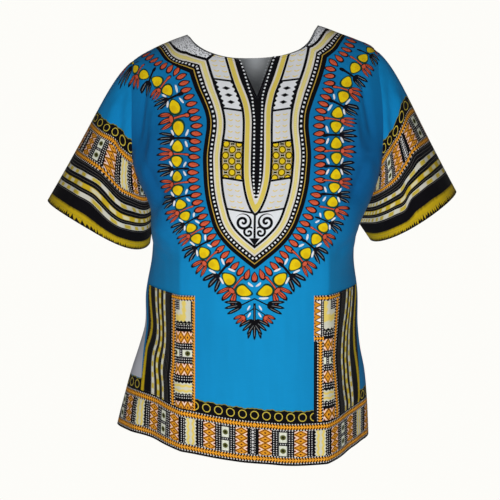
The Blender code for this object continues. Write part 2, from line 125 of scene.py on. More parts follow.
cuffs = {
    "right": cuff(-365, -296, -186, -374, -5, 78, 25, 2),
    "left": cuff(356, -280, 206, -367, -5, 78, 8, 1),
}
# how far the drape shifts the sleeve's bands towards the cuff, in mm, by the place round the sleeve
# (0 at its top fold) and by the height above the cuff, as read off the photograph
drift = namedtuple("drift", "around at0 at40 at75 at102 at185")
sleeveDrift = {
    "right": tableOf(drift, [
        (0, 0, -1, -1, 0, 2), (45, 0, -4.5, -1, 0.5, 7), (75, 0, -6, -4, 0, 10), (95, 0, -7, -5, 1, 8),
        (115, 0, -6.5, -4, 5, 10), (130, 0, -3, 0, 11, 14), (145, 0, 1.5, 5, 15.5, 15),
        (160, 0, 5.5, 9, 19, 15), (175, 0, 7.5, 11, 21, 14), (205, 0, 4, 9, 20, 14),
        (260, 0, 2, 10, 15, 14),
    ]),
    "left": tableOf(drift, [
        (0, 0, -5, -6, -4, -2), (45, 0, -8, -9, -7.5, -4.5), (75, 0, -11, -9, -11, 5.5),
        (95, 0, -13, -8, -11, 21), (115, 0, -12, -4, 2, 32), (130, 0, -10, 1, 9, 34),
        (145, 0, 0, 8, 14, 36), (175, 0, 1, 12.5, 23, 38), (205, 0, 1, 13, 31, 40),
        (260, 0, 1, 14, 31, 40),
    ]),
}
driftLevels = [0, 40, 75, 102, 185]
packedAround = {"right": [0, 100, 168, 278], "left": [20, 90, 166, 276]}  # where the print is at each
packedAt = [0, 100, 210, 320]
# how the sleeve's blocks lean about a height, and the places round the sleeve where that comes and goes
clothTwist = {"right": 0.3, "left": 0.15, "height": 133, "from": 60, "full": 140, "fades": 200, "ends": 290}
sleeve = {"rings": 50, "headBulge": 8.5 * mm, "headAt": 0.22, "headPower": 1.5}

# Folds, each a line seen in elevation with its half width and height. The first ones are the
# solids' own. The later, finer ones are laid after the photo, and alike where it can't see.
fold = namedtuple("fold", "face x0 z0 x1 z1 halfWidth height")


def foldsOn(face, rows):
    return [fold(face, *row) for row in rows]


bodyFolds = foldsOn("front", [
    (-176, -300, -120, -190, 17, -5), (-150, -235, -170, -410, 22, 5), (182, -300, 150, -190, 16, -4),
    (160, -250, 168, -420, 20, 4), (-168, -560, -188, -735, 20, -6), (165, -570, 176, -735, 18, -5),
    (-60, -470, -66, -735, 34, 3), (55, -440, 62, -735, 34, 3),
]) + foldsOn("back", [
    (-130, -400, -165, -735, 24, -9), (-88, -330, -100, -735, 24, 8), (-30, -360, -42, -735, 26, -8),
    (22, -320, 28, -735, 26, 8), (78, -380, 88, -735, 24, -9), (128, -330, 146, -735, 22, 8),
])
bodyCreases = foldsOn("front", [
    (-156, -150, -194, -262, 10, 4.2), (-120, -210, -188, -330, 9, -3.4),
    (-182, -330, -130, -372, 8, 1.8), (-186, -360, -140, -395, 7, -1.8), (150, -120, 206, -262, 10, 4.0),
    (128, -206, 214, -214, 5, -2.4), (-184, -80, -200, -200, 6, -5.4), (180, -70, 202, -190, 6, -5.0),
    (-170, -120, -178, -230, 6, 3.4), (-190, -210, -150, -300, 7, -4.6), (196, -200, 158, -300, 7, -4.6),
    (168, -110, 176, -220, 6, 3.2), (130, -262, 192, -256, 5, 1.4), (186, -345, 136, -386, 8, -1.8),
    (-30, -430, 40, -452, 9, 0.9), (-100, -400, -40, -470, 12, 1.0), (96, -420, 30, -500, 12, -1.0),
    (20, -520, 26, -735, 16, -1.6), (-24, -560, -20, -735, 16, 1.4), (-205, -640, -222, -735, 12, 3.0),
    (190, -640, 196, -735, 11, -2.6),
]) + foldsOn("back", [
    (-150, -110, -190, -240, 10, 3.0), (150, -110, 196, -240, 10, 3.0), (-60, -120, 60, -132, 12, -1.6),
    (-110, -230, -176, -330, 9, -2.6), (112, -230, 180, -325, 9, -2.6), (-90, -350, 84, -362, 11, 1.8),
    (-60, -480, -66, -735, 10, 2.4), (50, -500, 58, -735, 10, -2.4), (-190, -560, -220, -735, 13, 3.4),
    (176, -560, 192, -735, 13, 3.0),
])
sleeveFolds = foldsOn("front", [
    (-222, -120, -268, -345, 16, -6), (-250, -130, -312, -330, 16, 5), (-196, -330, -240, -300, 12, 5),
    (228, -110, 258, -335, 16, -6), (256, -130, 300, -320, 16, 5),
]) + foldsOn("back", [
    (-226, -140, -262, -350, 18, -6), (-250, -120, -315, -320, 18, 5), (226, -140, 258, -335, 18, -6),
    (250, -120, 306, -305, 18, 5),
])
sleeveCreases = foldsOn("front", [
    (-222, -90, -230, -190, 7, -4.0), (-240, -110, -256, -200, 8, 3.4), (226, -70, 236, -190, 7, -4.0),
    (244, -90, 258, -190, 8, 3.6), (-216, -96, -236, -230, 8, 3.0), (-240, -190, -292, -372, 9, -3.6),
    (-262, -210, -330, -318, 9, 2.6), (-206, -300, -250, -362, 8, 2.4), (218, -90, 232, -250, 8, 3.0),
    (238, -160, 262, -372, 9, -4.2), (262, -170, 330, -300, 9, 2.6), (214, -300, 240, -350, 8, 2.4),
]) + foldsOn("back", [
    (-218, -110, -244, -260, 9, 3.0), (-250, -220, -300, -360, 9, -3.2), (220, -100, 242, -250, 9, 3.0),
    (250, -210, 292, -350, 9, -3.2),
])


def smoothCurve(at, knots, values):
    knots, values = np.asarray(knots, float), np.asarray(values, float)
    slopes = np.gradient(values, knots)
    at = np.clip(at, knots[0], knots[-1])
    i = np.clip(np.searchsorted(knots, at) - 1, 0, len(knots) - 2)
    span = knots[i + 1] - knots[i]
    t = (at - knots[i]) / span
    start = values[i] * (1 + 2 * t) * (1 - t) ** 2 + slopes[i] * span * t * (1 - t) ** 2
    end = values[i + 1] * t * t * (3 - 2 * t) + slopes[i + 1] * span * t * t * (t - 1)
    return start + end


def column(table, name):
    return np.array([getattr(row, name) for row in table], float) * mm


def smoothStep(low, high, at):
    t = np.clip((at - low) / (high - low), 0, 1)
    return t * t * (3 - 2 * t)


def ridgeZ(x):
    return smoothCurve(x, column(shoulderRidge, "x"), column(shoulderRidge, "z"))


def sectionValue(name, z):
    return smoothCurve(z, column(sections, "z"), column(sections, name))


def sidePower(z):
    return smoothCurve(z, column(sections, "z"), [row.sidePower for row in sections])


def armholeDepth(side, z):
    tip = shoulderRidge[0 if side == "right" else -1].z * mm
    rise = np.clip((z - body["underarm"]) / (tip - body["underarm"]), 0, 1)
    pointed = body["armholePointBelow"] + (body["armholePointAbove"] - body["armholePointBelow"]) * rise
    return body["armholeHalfDepth"] * np.sin(np.pi * rise) ** pointed


def seamPlaneY(z):
    return body["shoulderSeamY"] * smoothStep(body["underarm"], body["shoulderSeamAbove"], z)


def planDepth(share, halfWidth, z):
    # a rounded box, and below the chest a front plane that ends in a pressed crease
    rounded = (1 - share ** body["planPower"]) ** (1 / sidePower(z))
    crease = body["creaseX"] / halfWidth
    inside = 1 - (1 - body["creaseDepth"]) * (share / crease) ** 2
    outside = body["creaseDepth"] * np.clip((1 - share) / (1 - crease), 0, 1) ** 0.8
    creased = np.where(share < crease, inside, outside)
    return rounded + (creased - rounded) * body["creaseBlend"] * smoothStep(-330 * mm, -400 * mm, z)


class PanelForm:
    # level sections of one face and side, stored by the share of the girth
    def __init__(self, face, side, levels=160, steps=97):
        self.face, self.side = face, side
        self.levels = np.linspace(body["sectionFoot"], body["sectionTop"], levels)
        self.shares = np.linspace(0, 1, steps)
        self.widthShare = np.zeros((levels, steps))
        self.depthShare = np.zeros((levels, steps))
        self.girth = np.zeros(levels)
        share = np.sin(np.linspace(0, math.pi / 2, 3 * steps))
        for i, z in enumerate(self.levels):
            half, deep = float(sectionValue(side, z)), float(sectionValue(face, z))
            edge = float(armholeDepth(side, z))
            cut = (1 - (edge / deep) ** sidePower(z)) ** (1 / body["planPower"])
            depth = deep * planDepth(cut * share, half / cut, z)
            run = np.concatenate([[0], np.cumsum(np.hypot(np.diff(half * share), np.diff(depth)))])
            self.girth[i] = run[-1]
            self.widthShare[i] = np.interp(self.shares, run / run[-1], share)
            deeper = (depth - depth[-1]) / (deep - depth[-1])
            self.depthShare[i] = np.interp(self.shares, run / run[-1], deeper)
        z, share = np.meshgrid(self.levels, self.shares, indexing="ij")
        steps = np.linalg.norm(np.diff(self.point(share, z), axis=0), axis=2)
        length = np.vstack([np.zeros(len(self.shares)), np.cumsum(steps, axis=0)])
        start = np.argmin(abs(self.levels - body["lengthFrom"]))
        over = self.levels[start] + length - length[start]
        self.clothLevel = np.where(z < self.levels[start], z, over)

    def halfGirth(self, z):
        return np.interp(z, self.levels, self.girth)

    def mixed(self, table, share, z):
        row = np.clip((z - self.levels[0]) / (self.levels[1] - self.levels[0]), 0, len(self.levels) - 1)
        col = np.clip(share, 0, 1) * (len(self.shares) - 1)
        i = np.minimum(row.astype(int), len(self.levels) - 2)
        j = np.minimum(col.astype(int), len(self.shares) - 2)
        a, b = row - i, col - j
        low = table[i, j] * (1 - b) + table[i, j + 1] * b
        high = table[i + 1, j] * (1 - b) + table[i + 1, j + 1] * b
        return low * (1 - a) + high * a

    def shareOf(self, x, z):
        row = np.clip(np.searchsorted(self.levels, z), 1, len(self.levels) - 1)
        return np.interp(abs(x) / sectionValue(self.side, z), self.widthShare[row], self.shares)

    def point(self, share, z):
        widthShare = self.mixed(self.widthShare, share, z)
        x = sideSign[self.side] * sectionValue(self.side, z) * widthShare
        edge = armholeDepth(self.side, z)
        depth = edge + (sectionValue(self.face, z) - edge) * self.mixed(self.depthShare, share, z)
        rounding = body["shoulderRounding"] * (1 - widthShare**8) + 0.01 * mm
        fall = np.clip((ridgeZ(x) - z) / rounding, 0, 1)
        y = seamPlaneY(z) + faceSign[self.face] * np.sqrt(1 - (1 - fall) ** 2) * depth
        return np.stack([x, y, z], axis=-1)


columnPlace = np.concatenate([[0]] + [i + np.arange(1, n + 1) / n for i, n in enumerate(columnSteps)])


def neckline(face, side):
    table = frontNeckline if face == "front" else backNeckline
    knots = np.arange(len(table))
    corner = 2 if face == "front" else 0  # the slit's edge is straight below its corner
    k = np.minimum(columnPlace, knots[-1])

    def run(values):
        curve = smoothCurve(k, knots[corner:], values[corner:])
        return np.where(k < corner, np.interp(k, knots, values), curve)

    x, z = column(table, side + "X"), column(table, side + "Z")
    tip = shoulderRidge[0 if side == "right" else -1].x * mm
    beyond = np.clip((columnPlace - knots[-1]) / (columnPlace[-1] - knots[-1]), 0, 1)
    topX = run(x) + (tip - x[-1]) * beyond
    return topX, np.where(beyond > 0, ridgeZ(topX), run(z)), columnPlace >= knots[-1]


def lowShares(form, z):
    girth = form.halfGirth(z)
    last = clothColumns[-1] * mm
    cloth = np.interp(columnPlace, np.arange(len(clothColumns)), clothColumns) * mm
    beyond = np.clip(columnPlace - (len(clothColumns) - 1), 0, None) / sideColumns
    fixed = (cloth + (girth - last) * beyond) / girth
    even = cloth / last * body["evenSide"] + (1 - body["evenSide"]) * beyond
    return even + (fixed - even) * smoothStep(body["evenColumnsAbove"], body["clothColumnsBelow"], z)


def halfPanel(face, side):
    # points from hem to shoulder, and for each one its place on the cloth in mm:
    # round from the middle, up from the hem, and level
    form = PanelForm(face, side)
    hemShare = sideSign[side] * lowShares(form, body["hemShares"])
    hem = smoothCurve(hemShare, [row.share for row in hemLine], column(hemLine, face))
    band = hem + body["hemBand"]
    levels = [hem + body["hemBand"] * k / rows["hem"] for k in range(rows["hem"])]
    levels += [band + (body["pocketTop"] - band) * k / rows["pocket"] for k in range(rows["pocket"])]
    waist = np.linspace(body["pocketTop"], body["underarm"], rows["waist"] + 1)
    levels += [np.full(len(hem), z) for z in waist]
    shares = [lowShares(form, z) for z in levels]
    topX, topZ, onShoulder = neckline(face, side)
    top = np.array([form.shareOf(x, z) for x, z in zip(topX, topZ)])
    top[-1] = 1
    for k in range(1, rows["chest"] + 1):
        rise = k / rows["chest"]
        eased = (1 - math.cos(math.pi * rise)) / 2
        height = rise + (eased - rise) * 0.6
        levels.append(body["underarm"] + (topZ - body["underarm"]) * height)
        shares.append(shares[len(shares) - k] * (1 - height) + top * height)
    z, share = np.array(levels), np.array(shares)
    grid = form.point(share, z)
    grid[-1][:, 0] = topX
    grid[-1][onShoulder, 1] = seamPlaneY(topZ[onShoulder])
    girthPlace = sideSign[side] * share * form.halfGirth(z)
    cloth = np.stack([girthPlace, z - hem, form.mixed(form.clothLevel, share, z)], axis=-1) / mm
    return grid, cloth


def panelGrid(face):
    right, rightCloth = halfPanel(face, "right")
    left, leftCloth = halfPanel(face, "left")
    grid = np.concatenate([right[:, :0:-1], left], axis=1)
    cloth = np.concatenate([rightCloth[:, :0:-1], leftCloth], axis=1)
    cloth[..., 0] -= cloth[:, cloth.shape[1] // 2, :1]  # the print's middle follows the slit
    return (grid, cloth) if face == "front" else (grid[:, ::-1], cloth[:, ::-1])


def armholePlaces(shape, side):
    count, last = shape[0], shape[1] - 1
    frontColumn, backColumn = (0, last) if side == "right" else (last, 0)
    down = [("front", count - 1 - k, frontColumn) for k in range(rows["chest"] + 1)]
    up = [("back", count - 1 - rows["chest"] + k, backColumn) for k in range(1, rows["chest"])]
    return down + up


def atPlaces(tables, places):
    return np.array([tables[face][row, col] for face, row, col in places])


def sleeveGrid(ring, side):
    end = cuffs[side]
    outer = np.array([end.outerX, end.middleY, end.outerZ]) * mm
    inner = np.array([end.innerX, end.middleY, end.innerZ]) * mm
    middle, longHalf = (outer + inner) / 2, (outer - inner) / 2
    run = np.concatenate([[0], np.cumsum(np.linalg.norm(np.roll(ring, -1, axis=0) - ring, axis=1))])
    foot = rows["chest"]
    frontTurn = np.pi * run[: foot + 1] / run[foot]
    backTurn = np.pi + np.pi * (run[foot + 1 : -1] - run[foot]) / (run[-1] - run[foot])
    turn = np.concatenate([frontTurn, backTurn])
    rim = middle + np.outer(np.cos(turn), longHalf) + np.outer(np.sin(turn), [0, -end.halfDepth * mm, 0])
    sag = end.sag * mm * ((1 - np.cos(turn)) / 2) ** end.sagPower * np.abs(np.sin(turn))
    down = np.array([-longHalf[2], 0, longHalf[0]]) * -sideSign[side]
    rim += np.outer(sag, down / np.linalg.norm(down))
    topLine = outer - ring[0]
    outwards = np.array([-topLine[2], 0, topLine[0]]) * sideSign[side]
    outwards /= np.linalg.norm(outwards)
    rings = []
    for t in np.linspace(0, 1, sleeve["rings"] + 1):
        head = t / sleeve["headAt"] * math.exp(1 - t / sleeve["headAt"]) * sleeve["headBulge"]
        lift = np.maximum(np.cos(turn), 0) ** sleeve["headPower"] * head
        rings.append(ring * (1 - t) + rim * t + np.outer(lift, outwards))
    return np.array(rings)


def unit(vectors):
    return vectors / np.linalg.norm(vectors, axis=-1, keepdims=True)


def gridNormals(grid, closed):
    if closed:
        wide = np.concatenate([grid[:, -1:], grid, grid[:, :1]], axis=1)
        across = wide[:, 2:] - wide[:, :-2]
    else:
        across = np.gradient(grid, axis=1)
    return unit(np.cross(across, np.gradient(grid, axis=0)))


def edgeDistance(grid, edge):
    return np.array([np.linalg.norm(row[:, None] - edge[None], axis=2).min(axis=1) for row in grid])


def folded(grid, folds, fade, closed=False):
    height = np.zeros(grid.shape[:2])
    seen = grid[..., [0, 2]]
    for f in folds:
        start = np.array([f.x0, f.z0]) * mm
        line = np.array([f.x1, f.z1]) * mm - start
        along = np.clip((seen - start) @ line / (line @ line), 0, 1)
        away = np.linalg.norm(seen - start - along[..., None] * line, axis=-1)
        facing = smoothStep(12 * mm, 40 * mm, faceSign[f.face] * grid[..., 1])
        tails = smoothStep(0, 0.28, along)
        if f.z1 > -700:
            tails = tails * smoothStep(1, 0.72, along)
        height += f.height * mm * np.exp(-((away / (f.halfWidth * mm)) ** 2)) * tails * facing
    return grid + gridNormals(grid, closed) * (height * fade)[..., None]


def joinNormals(normals):
    # front and back share a normal along the side and shoulder seams
    front, back = normals["front"], normals["back"][:, ::-1]
    count, across = front.shape[:2]
    shoulder = np.concatenate([columnPlace[:0:-1], columnPlace]) >= len(frontNeckline) - 1
    seam = [(i, j) for i in range(count - rows["chest"]) for j in (0, across - 1)]
    seam += [(count - 1, j) for j in np.flatnonzero(shoulder)]
    for place in seam:
        front[place] = back[place] = unit(front[place] + back[place])


def armholeNormals(ring, panelNormals, sleeveNormals, side):
    tangent = unit(np.roll(ring, -1, axis=0) - np.roll(ring, 1, axis=0))
    intoPanel = -sideSign[side] * np.cross(panelNormals, tangent)
    intoSleeve = sideSign[side] * np.cross(sleeveNormals, tangent)
    groove = np.sign(np.sum(panelNormals * intoSleeve, axis=1, keepdims=True))
    return unit(panelNormals + sleeveNormals + groove * (intoPanel + intoSleeve))


def panelLoop(shape):
    count, across = shape
    loop = [(0, j) for j in range(across - 1)] + [(i, across - 1) for i in range(count - 1)]
    loop += [(count - 1, j) for j in range(across - 1, 0, -1)] + [(i, 0) for i in range(count - 1, 0, -1)]
    return np.array(loop)


def insetSteps(loop, normals):
    ahead = np.roll(loop, -1, axis=0) - loop
    leftAhead = unit(np.cross(normals, ahead))
    leftBefore = unit(np.cross(normals, np.roll(ahead, 1, axis=0)))
    spread = 1 + np.sum(leftAhead * leftBefore, axis=1, keepdims=True)
    return body["seamGap"] / 2 * (leftAhead + leftBefore) / np.maximum(spread, 0.4)


# The print, in mm on the cloth: out from the middle, and level. Where the two sides differ, each has
# its own table. The places in these tables were read off the photograph.
outlinePoint = namedtuple("outlinePoint", "out level")
# the bib's outer edge, from its tip to the corner of the yoke and on over the neck
bibSide = tableOf(outlinePoint, [
    (0, -400), (20.5, -383.5), (41, -366), (60.5, -344), (70, -327), (77.5, -305), (83.5, -283),
    (88, -257), (90, -232), (91, -205), (88.5, -181), (86, -158), (87.5, -140), (95.5, -116), (105, -93),
    (111.5, -74), (116, -58), (123, -20), (126, 20), (134, 60),
])
bibYoke = {  # the yoke's lower edge, from under the neck out to the shoulder: it lies a little askew
    "right": tableOf(outlinePoint, [
        (-20, -93), (60, -82), (95, -73), (114, -66), (136, -55), (156, -36), (170, -10), (181, 18),
        (193, 60),
    ]),
    "left": tableOf(outlinePoint, [
        (-20, -76), (60, -63), (95, -52), (110, -46), (123, -36), (135, -22), (145, -3), (153, 16),
        (164, 60),
    ]),
}
# the inner band's outer edge, from its tip up to the neck
bibInner = tableOf(outlinePoint, [
    (0, -304), (3.5, -300), (10.9, -286), (17.2, -266), (20.8, -246), (22.2, -214), (22, -180),
    (21.8, -156), (23.5, -128), (29, -106), (38, -82), (46, -56), (53, -30), (60, 0), (66, 30),
])
# the rows of dots beside the slit
slitDots = tableOf(outlinePoint, [
    (33, -32), (27.7, -44), (18, -77), (8.6, -110), (6.3, -150), (5.5, -247), (2.4, -279), (1.5, -290),
])
# the ring of ovals round the bib: alike up to the chest, then askew with the yoke
tipOvals = tableOf(outlinePoint, [
    (0, -412), (15, -407.5), (29, -398), (48, -377), (66, -355), (80, -331), (89.5, -309), (97, -290),
    (102.5, -268), (107, -245), (106, -212),
])
ovalRing = {
    "right": tipOvals + tableOf(outlinePoint, [
        (104.5, -184), (102.5, -160), (106.5, -140), (111, -120), (119, -97), (125, -79), (132, -66),
        (144, -60), (156, -53), (168, -44), (181, -29), (193, -13), (203, 8), (210, 50),
    ]),
    "left": tipOvals + tableOf(outlinePoint, [
        (105, -184), (103.5, -160), (106.5, -138), (112, -122), (118.5, -105), (123, -93), (124, -76),
        (125, -62), (130, -49), (140, -40), (149, -28), (157, -12), (164, 8), (172, 40),
    ]),
}
tipBuds = tableOf(outlinePoint, [(0, -443), (18.5, -437.5), (44.5, -416), (69, -392)])
budRing = {  # the ring of buds outside it
    "right": tipBuds + tableOf(outlinePoint, [
        (87, -370.5), (99, -348), (109, -329), (119, -310), (127, -291), (132.5, -268), (136, -243),
        (136.5, -217), (134.5, -190), (133.5, -164), (140, -126), (151, -98), (170, -81.5), (192, -71),
        (214, -58), (232, -36), (246, -8), (258, 30),
    ]),
    "left": tipBuds + tableOf(outlinePoint, [
        (89, -371), (105, -349), (118, -328), (126, -308), (130, -290), (131.5, -268), (134, -243),
        (134.5, -217), (133.5, -190), (132.5, -160), (136, -136), (147, -109), (154, -83), (168, -59),
        (184, -38), (200, -14), (214, 12), (228, 48),
    ]),
}
# how far along that ring the buds lie: the first one, then the steps between them, as measured on
# the photograph
firstBud = 19.4
budSteps = {
    "right": [34, 33.5, 28, 26, 21.5, 21.5, 22.5, 23.5, 24.5, 25, 25, 27, 42, 28, 26, 26, 26, 26, 26],
    "left": [34, 33.5, 28, 28.5, 25, 21, 24, 24, 21.5, 28, 24, 28, 22.5, 30.5, 27.5, 28, 26.5, 26, 26],
}
# how far the printed bib hangs to the wearer's left of the slit's line, by level
printLean = tableOf(outlinePoint, [
    (0, -330), (1, -290), (2, -250), (2.6, -200), (2.8, -150), (1, -112), (0, -98),
])
ovalPitch = 12.8
budWidth = 26  # from bud to bud, as drawn


def smoothPath(table, step=4.0):
    points = np.array([[p.out, p.level] for p in table], float)
    knots = np.concatenate([[0], np.cumsum(np.linalg.norm(np.diff(points, axis=0), axis=1))])
    at = np.linspace(0, knots[-1], int(knots[-1] / step) + 1)
    return np.stack([smoothCurve(at, knots, points[:, k]) for k in (0, 1)], axis=-1)


def nearPath(path, out, level):
    # how far along a path each point lies, and how far to its left
    start, step = path[:-1], np.diff(path, axis=0)
    lengths = np.linalg.norm(step, axis=1)
    before = np.concatenate([[0], np.cumsum(lengths)[:-1]])
    along, left = np.zeros(out.shape), np.zeros(out.shape)
    for i in range(len(out)):
        p = np.stack([out[i], level[i]], axis=-1)[:, None] - start
        t = np.clip((p * step).sum(-1) / lengths**2, 0, 1)
        gap = p - step * t[..., None]
        far = np.linalg.norm(gap, axis=-1)
        k = far.argmin(axis=1)
        j = np.arange(len(k))
        turn = step[k, 0] * gap[j, k, 1] - step[k, 1] * gap[j, k, 0]
        along[i] = before[k] + t[j, k] * lengths[k]
        left[i] = np.sign(turn) * far[j, k]
    return along, left


def nearBySide(tables, x, level):
    right, left = (nearPath(smoothPath(tables[side]), abs(x), level) for side in ("right", "left"))
    return np.where(x < 0, right, left)


def printPlaces(cloth):
    # attributes that carry the print: places along its bands and rings, and distances from them
    level = cloth[..., 2]
    x = cloth[..., 0] - np.interp(level, [p.level for p in printLean], [p.out for p in printLean])
    out = abs(x)
    sideAlong, sideIn = nearPath(smoothPath(bibSide), out, level)
    yokeAlong, yokeIn = nearBySide(bibYoke, x, level)
    innerIn = nearPath(smoothPath(bibInner), out, level)[1]
    ovalAlong, ovalIn = nearBySide(ovalRing, x, level)
    budAlong, budIn = nearBySide(budRing, x, level)
    index = []
    for steps in budSteps.values():
        marks = firstBud + np.cumsum([-2 * firstBud, 2 * firstBud] + steps)
        index.append(np.interp(budAlong, marks, np.arange(len(marks)) - 0.5))
    budIndex = np.where(x < 0, *index)
    dots = np.array([[p.level, p.out] for p in slitDots[::-1]], float)
    slitIn = np.interp(level, dots[:, 0], dots[:, 1]) - out
    zero = np.zeros(out.shape)
    return {
        "bibSide": np.stack([sideIn, sideAlong, innerIn], axis=-1),
        "bibYoke": np.stack([yokeIn, yokeAlong, slitIn], axis=-1),
        "ovals": np.stack([ovalAlong, -ovalIn, zero], axis=-1),
        "buds": np.stack([budIndex, -budIn, zero], axis=-1),
    }


class Field:
    # a number that changes over the surface, kept as the socket that carries it
    def __init__(self, tree, socket):
        self.tree, self.socket = tree, socket

    def op(self, operation, *others, clamp=False):
        node = self.tree.nodes.new("ShaderNodeMath")
        node.operation, node.use_clamp = operation, clamp
        for socket, value in zip(node.inputs, (self, *others)):
            put(self.tree, value, socket)
        return Field(self.tree, node.outputs[0])

    def __add__(self, other):
        return self.op("ADD", other)

    def __sub__(self, other):
        return self.op("SUBTRACT", other)

    def __mul__(self, other):
        return self.op("MULTIPLY", other)

    def __truediv__(self, other):
        return self.op("DIVIDE", other)

    def __abs__(self):
        return self.op("ABSOLUTE")

    def over(self, at, soft=0.3):  # 1 above a value, 0 below it
        return self.op("MULTIPLY_ADD", 1 / soft, 0.5 - at / soft, clamp=True)

    def under(self, at, soft=0.3):
        return self.op("MULTIPLY_ADD", -1 / soft, 0.5 + at / soft, clamp=True)

    def between(self, low, high, soft=0.3):
        return abs(self - (low + high) / 2).under((high - low) / 2, soft)

    def wrap(self, pitch):  # distance from the nearest multiple of the pitch
        return self.op("WRAP", pitch / 2, -pitch / 2)

    def wave(self, length, height):
        return (self * (2 * math.pi / length)).op("SINE") * height

    def most(self, other):
        return self.op("MAXIMUM", other)

    def least(self, other):
        return self.op("MINIMUM", other)

    def root(self):
        return self.op("SQRT")


def put(tree, value, socket):
    if isinstance(value, Field):
        tree.links.new(value.socket, socket)
    elif isinstance(value, tuple):
        socket.default_value = (*value, 1) if len(value) == 3 and len(socket.default_value) == 4 else value
    else:
        socket.default_value = value


def spot(x, y, halfWide, halfHigh):
    # below 1 inside an ellipse
    a, b = x * (1 / halfWide), y * (1 / halfHigh)
    return a * a + b * b


def radius(x, y):
    return (x * x + y * y).root()


def paint(under, colour, mask):
    tree = next(value.tree for value in (mask, under) if isinstance(value, Field))
    node = tree.nodes.new("ShaderNodeMix")
    node.data_type, node.clamp_factor = "RGBA", True
    put(tree, mask, node.inputs[0])
    put(tree, under, node.inputs[6])
    put(tree, colour, node.inputs[7])
    return Field(tree, node.outputs[2])


def ramp(field, span, stops):
    node = field.tree.nodes.new("ShaderNodeValToRGB")
    put(field.tree, field * (1 / span), node.inputs[0])
    node.color_ramp.interpolation = "CONSTANT"
    elements = node.color_ramp.elements
    while len(elements) > 1:
        elements.remove(elements[-1])
    elements[0].position, elements[0].color = stops[0][0] / span, (*stops[0][1], 1)
    for at, colour in stops[1:]:
        elements.new(at / span).color = (*colour, 1)
    return Field(field.tree, node.outputs[0])


def noise(tree, scale, detail=2.0, place=None):
    node = tree.nodes.new("ShaderNodeTexNoise")
    node.inputs["Scale"].default_value = scale
    node.inputs["Detail"].default_value = detail
    if place is None:
        place = Field(tree, tree.nodes.new("ShaderNodeTexCoord").outputs["Object"])
    put(tree, place, node.inputs["Vector"])
    return Field(tree, node.outputs["Fac"])


def vector(x, y, z=0.0):
    node = x.tree.nodes.new("ShaderNodeCombineXYZ")
    for socket, value in zip(node.inputs, (x, y, z)):
        put(x.tree, value, socket)
    return Field(x.tree, node.outputs[0])


def attribute(tree, name):
    node = tree.nodes.new("ShaderNodeAttribute")
    node.attribute_name = name
    parts = tree.nodes.new("ShaderNodeSeparateXYZ")
    tree.links.new(node.outputs["Vector"], parts.inputs[0])
    return [Field(tree, socket) for socket in parts.outputs]


def makeGroup(build, inputs, outputs):
    tree = bpy.data.node_groups.new(build.__name__, "ShaderNodeTree")
    for way, sockets in (("INPUT", inputs), ("OUTPUT", outputs)):
        for label in sockets:
            kind = "NodeSocketColor" if label in ("Ground", "Colour") else "NodeSocketFloat"
            tree.interface.new_socket(label, in_out=way, socket_type=kind)
    start, end = tree.nodes.new("NodeGroupInput"), tree.nodes.new("NodeGroupOutput")
    made = build(*[Field(tree, socket) for socket in list(start.outputs)[: len(inputs)]])
    for value, socket in zip(made, end.inputs):
        put(tree, value, socket)
    return tree


def useGroup(tree, group, *values):
    node = tree.nodes.new("ShaderNodeGroup")
    node.node_tree = group
    for socket, value in zip(node.inputs, values):
        put(tree, value, socket)
    return [Field(tree, socket) for socket in node.outputs]


def rgb(red, green, blue):
    def linear(c):
        c /= 255
        return c / 12.92 if c <= 0.04045 else ((c + 0.055) / 1.055) ** 2.4
    return linear(red), linear(green), linear(blue)


ink = {
    # the first three blues are one ground in painted light and shade: the first where the front is lit best,
    # the next two darker as painted shade
    "blue": rgb(16, 146, 206), "shadedBlue": rgb(12, 122, 182), "shadeBlue": rgb(8, 92, 148),
    "black": rgb(9, 8, 13), "white": rgb(230, 232, 236), "band": rgb(222, 216, 206),
    "cream": rgb(216, 214, 194), "paleYellow": rgb(232, 208, 108), "gold": rgb(190, 156, 62),
    "chain": rgb(222, 200, 92), "yellow": rgb(238, 206, 14), "orange": rgb(224, 148, 36),
    "brown": rgb(70, 30, 10), "red": rgb(214, 92, 62),
    "leaf": rgb(10, 62, 48), "olive": rgb(84, 86, 34), "dot": rgb(220, 218, 216),
    "darkGrey": rgb(92, 90, 88), "darkVein": rgb(124, 128, 130), "redVein": rgb(96, 26, 20),
}


blockStart = 7.4  # where the border's blocks start, out from their middle
border = {
    "repeat": 120.4, "squares": 39.6, "bar": 12.2, "barPitch": 31.1, "barHalf": 2.2, "barDotPitch": 3.88,
    "diamonds": 27.6, "diamondsHalf": 10.0, "diamondHalfWide": 10.4, "diamondHalfHigh": 5.82,
    "cellHigh": 11.65, "squareHigh": 23.3, "squareHalf": 6.8, "cream": 60.2, "creamHalf": 11.2,
}


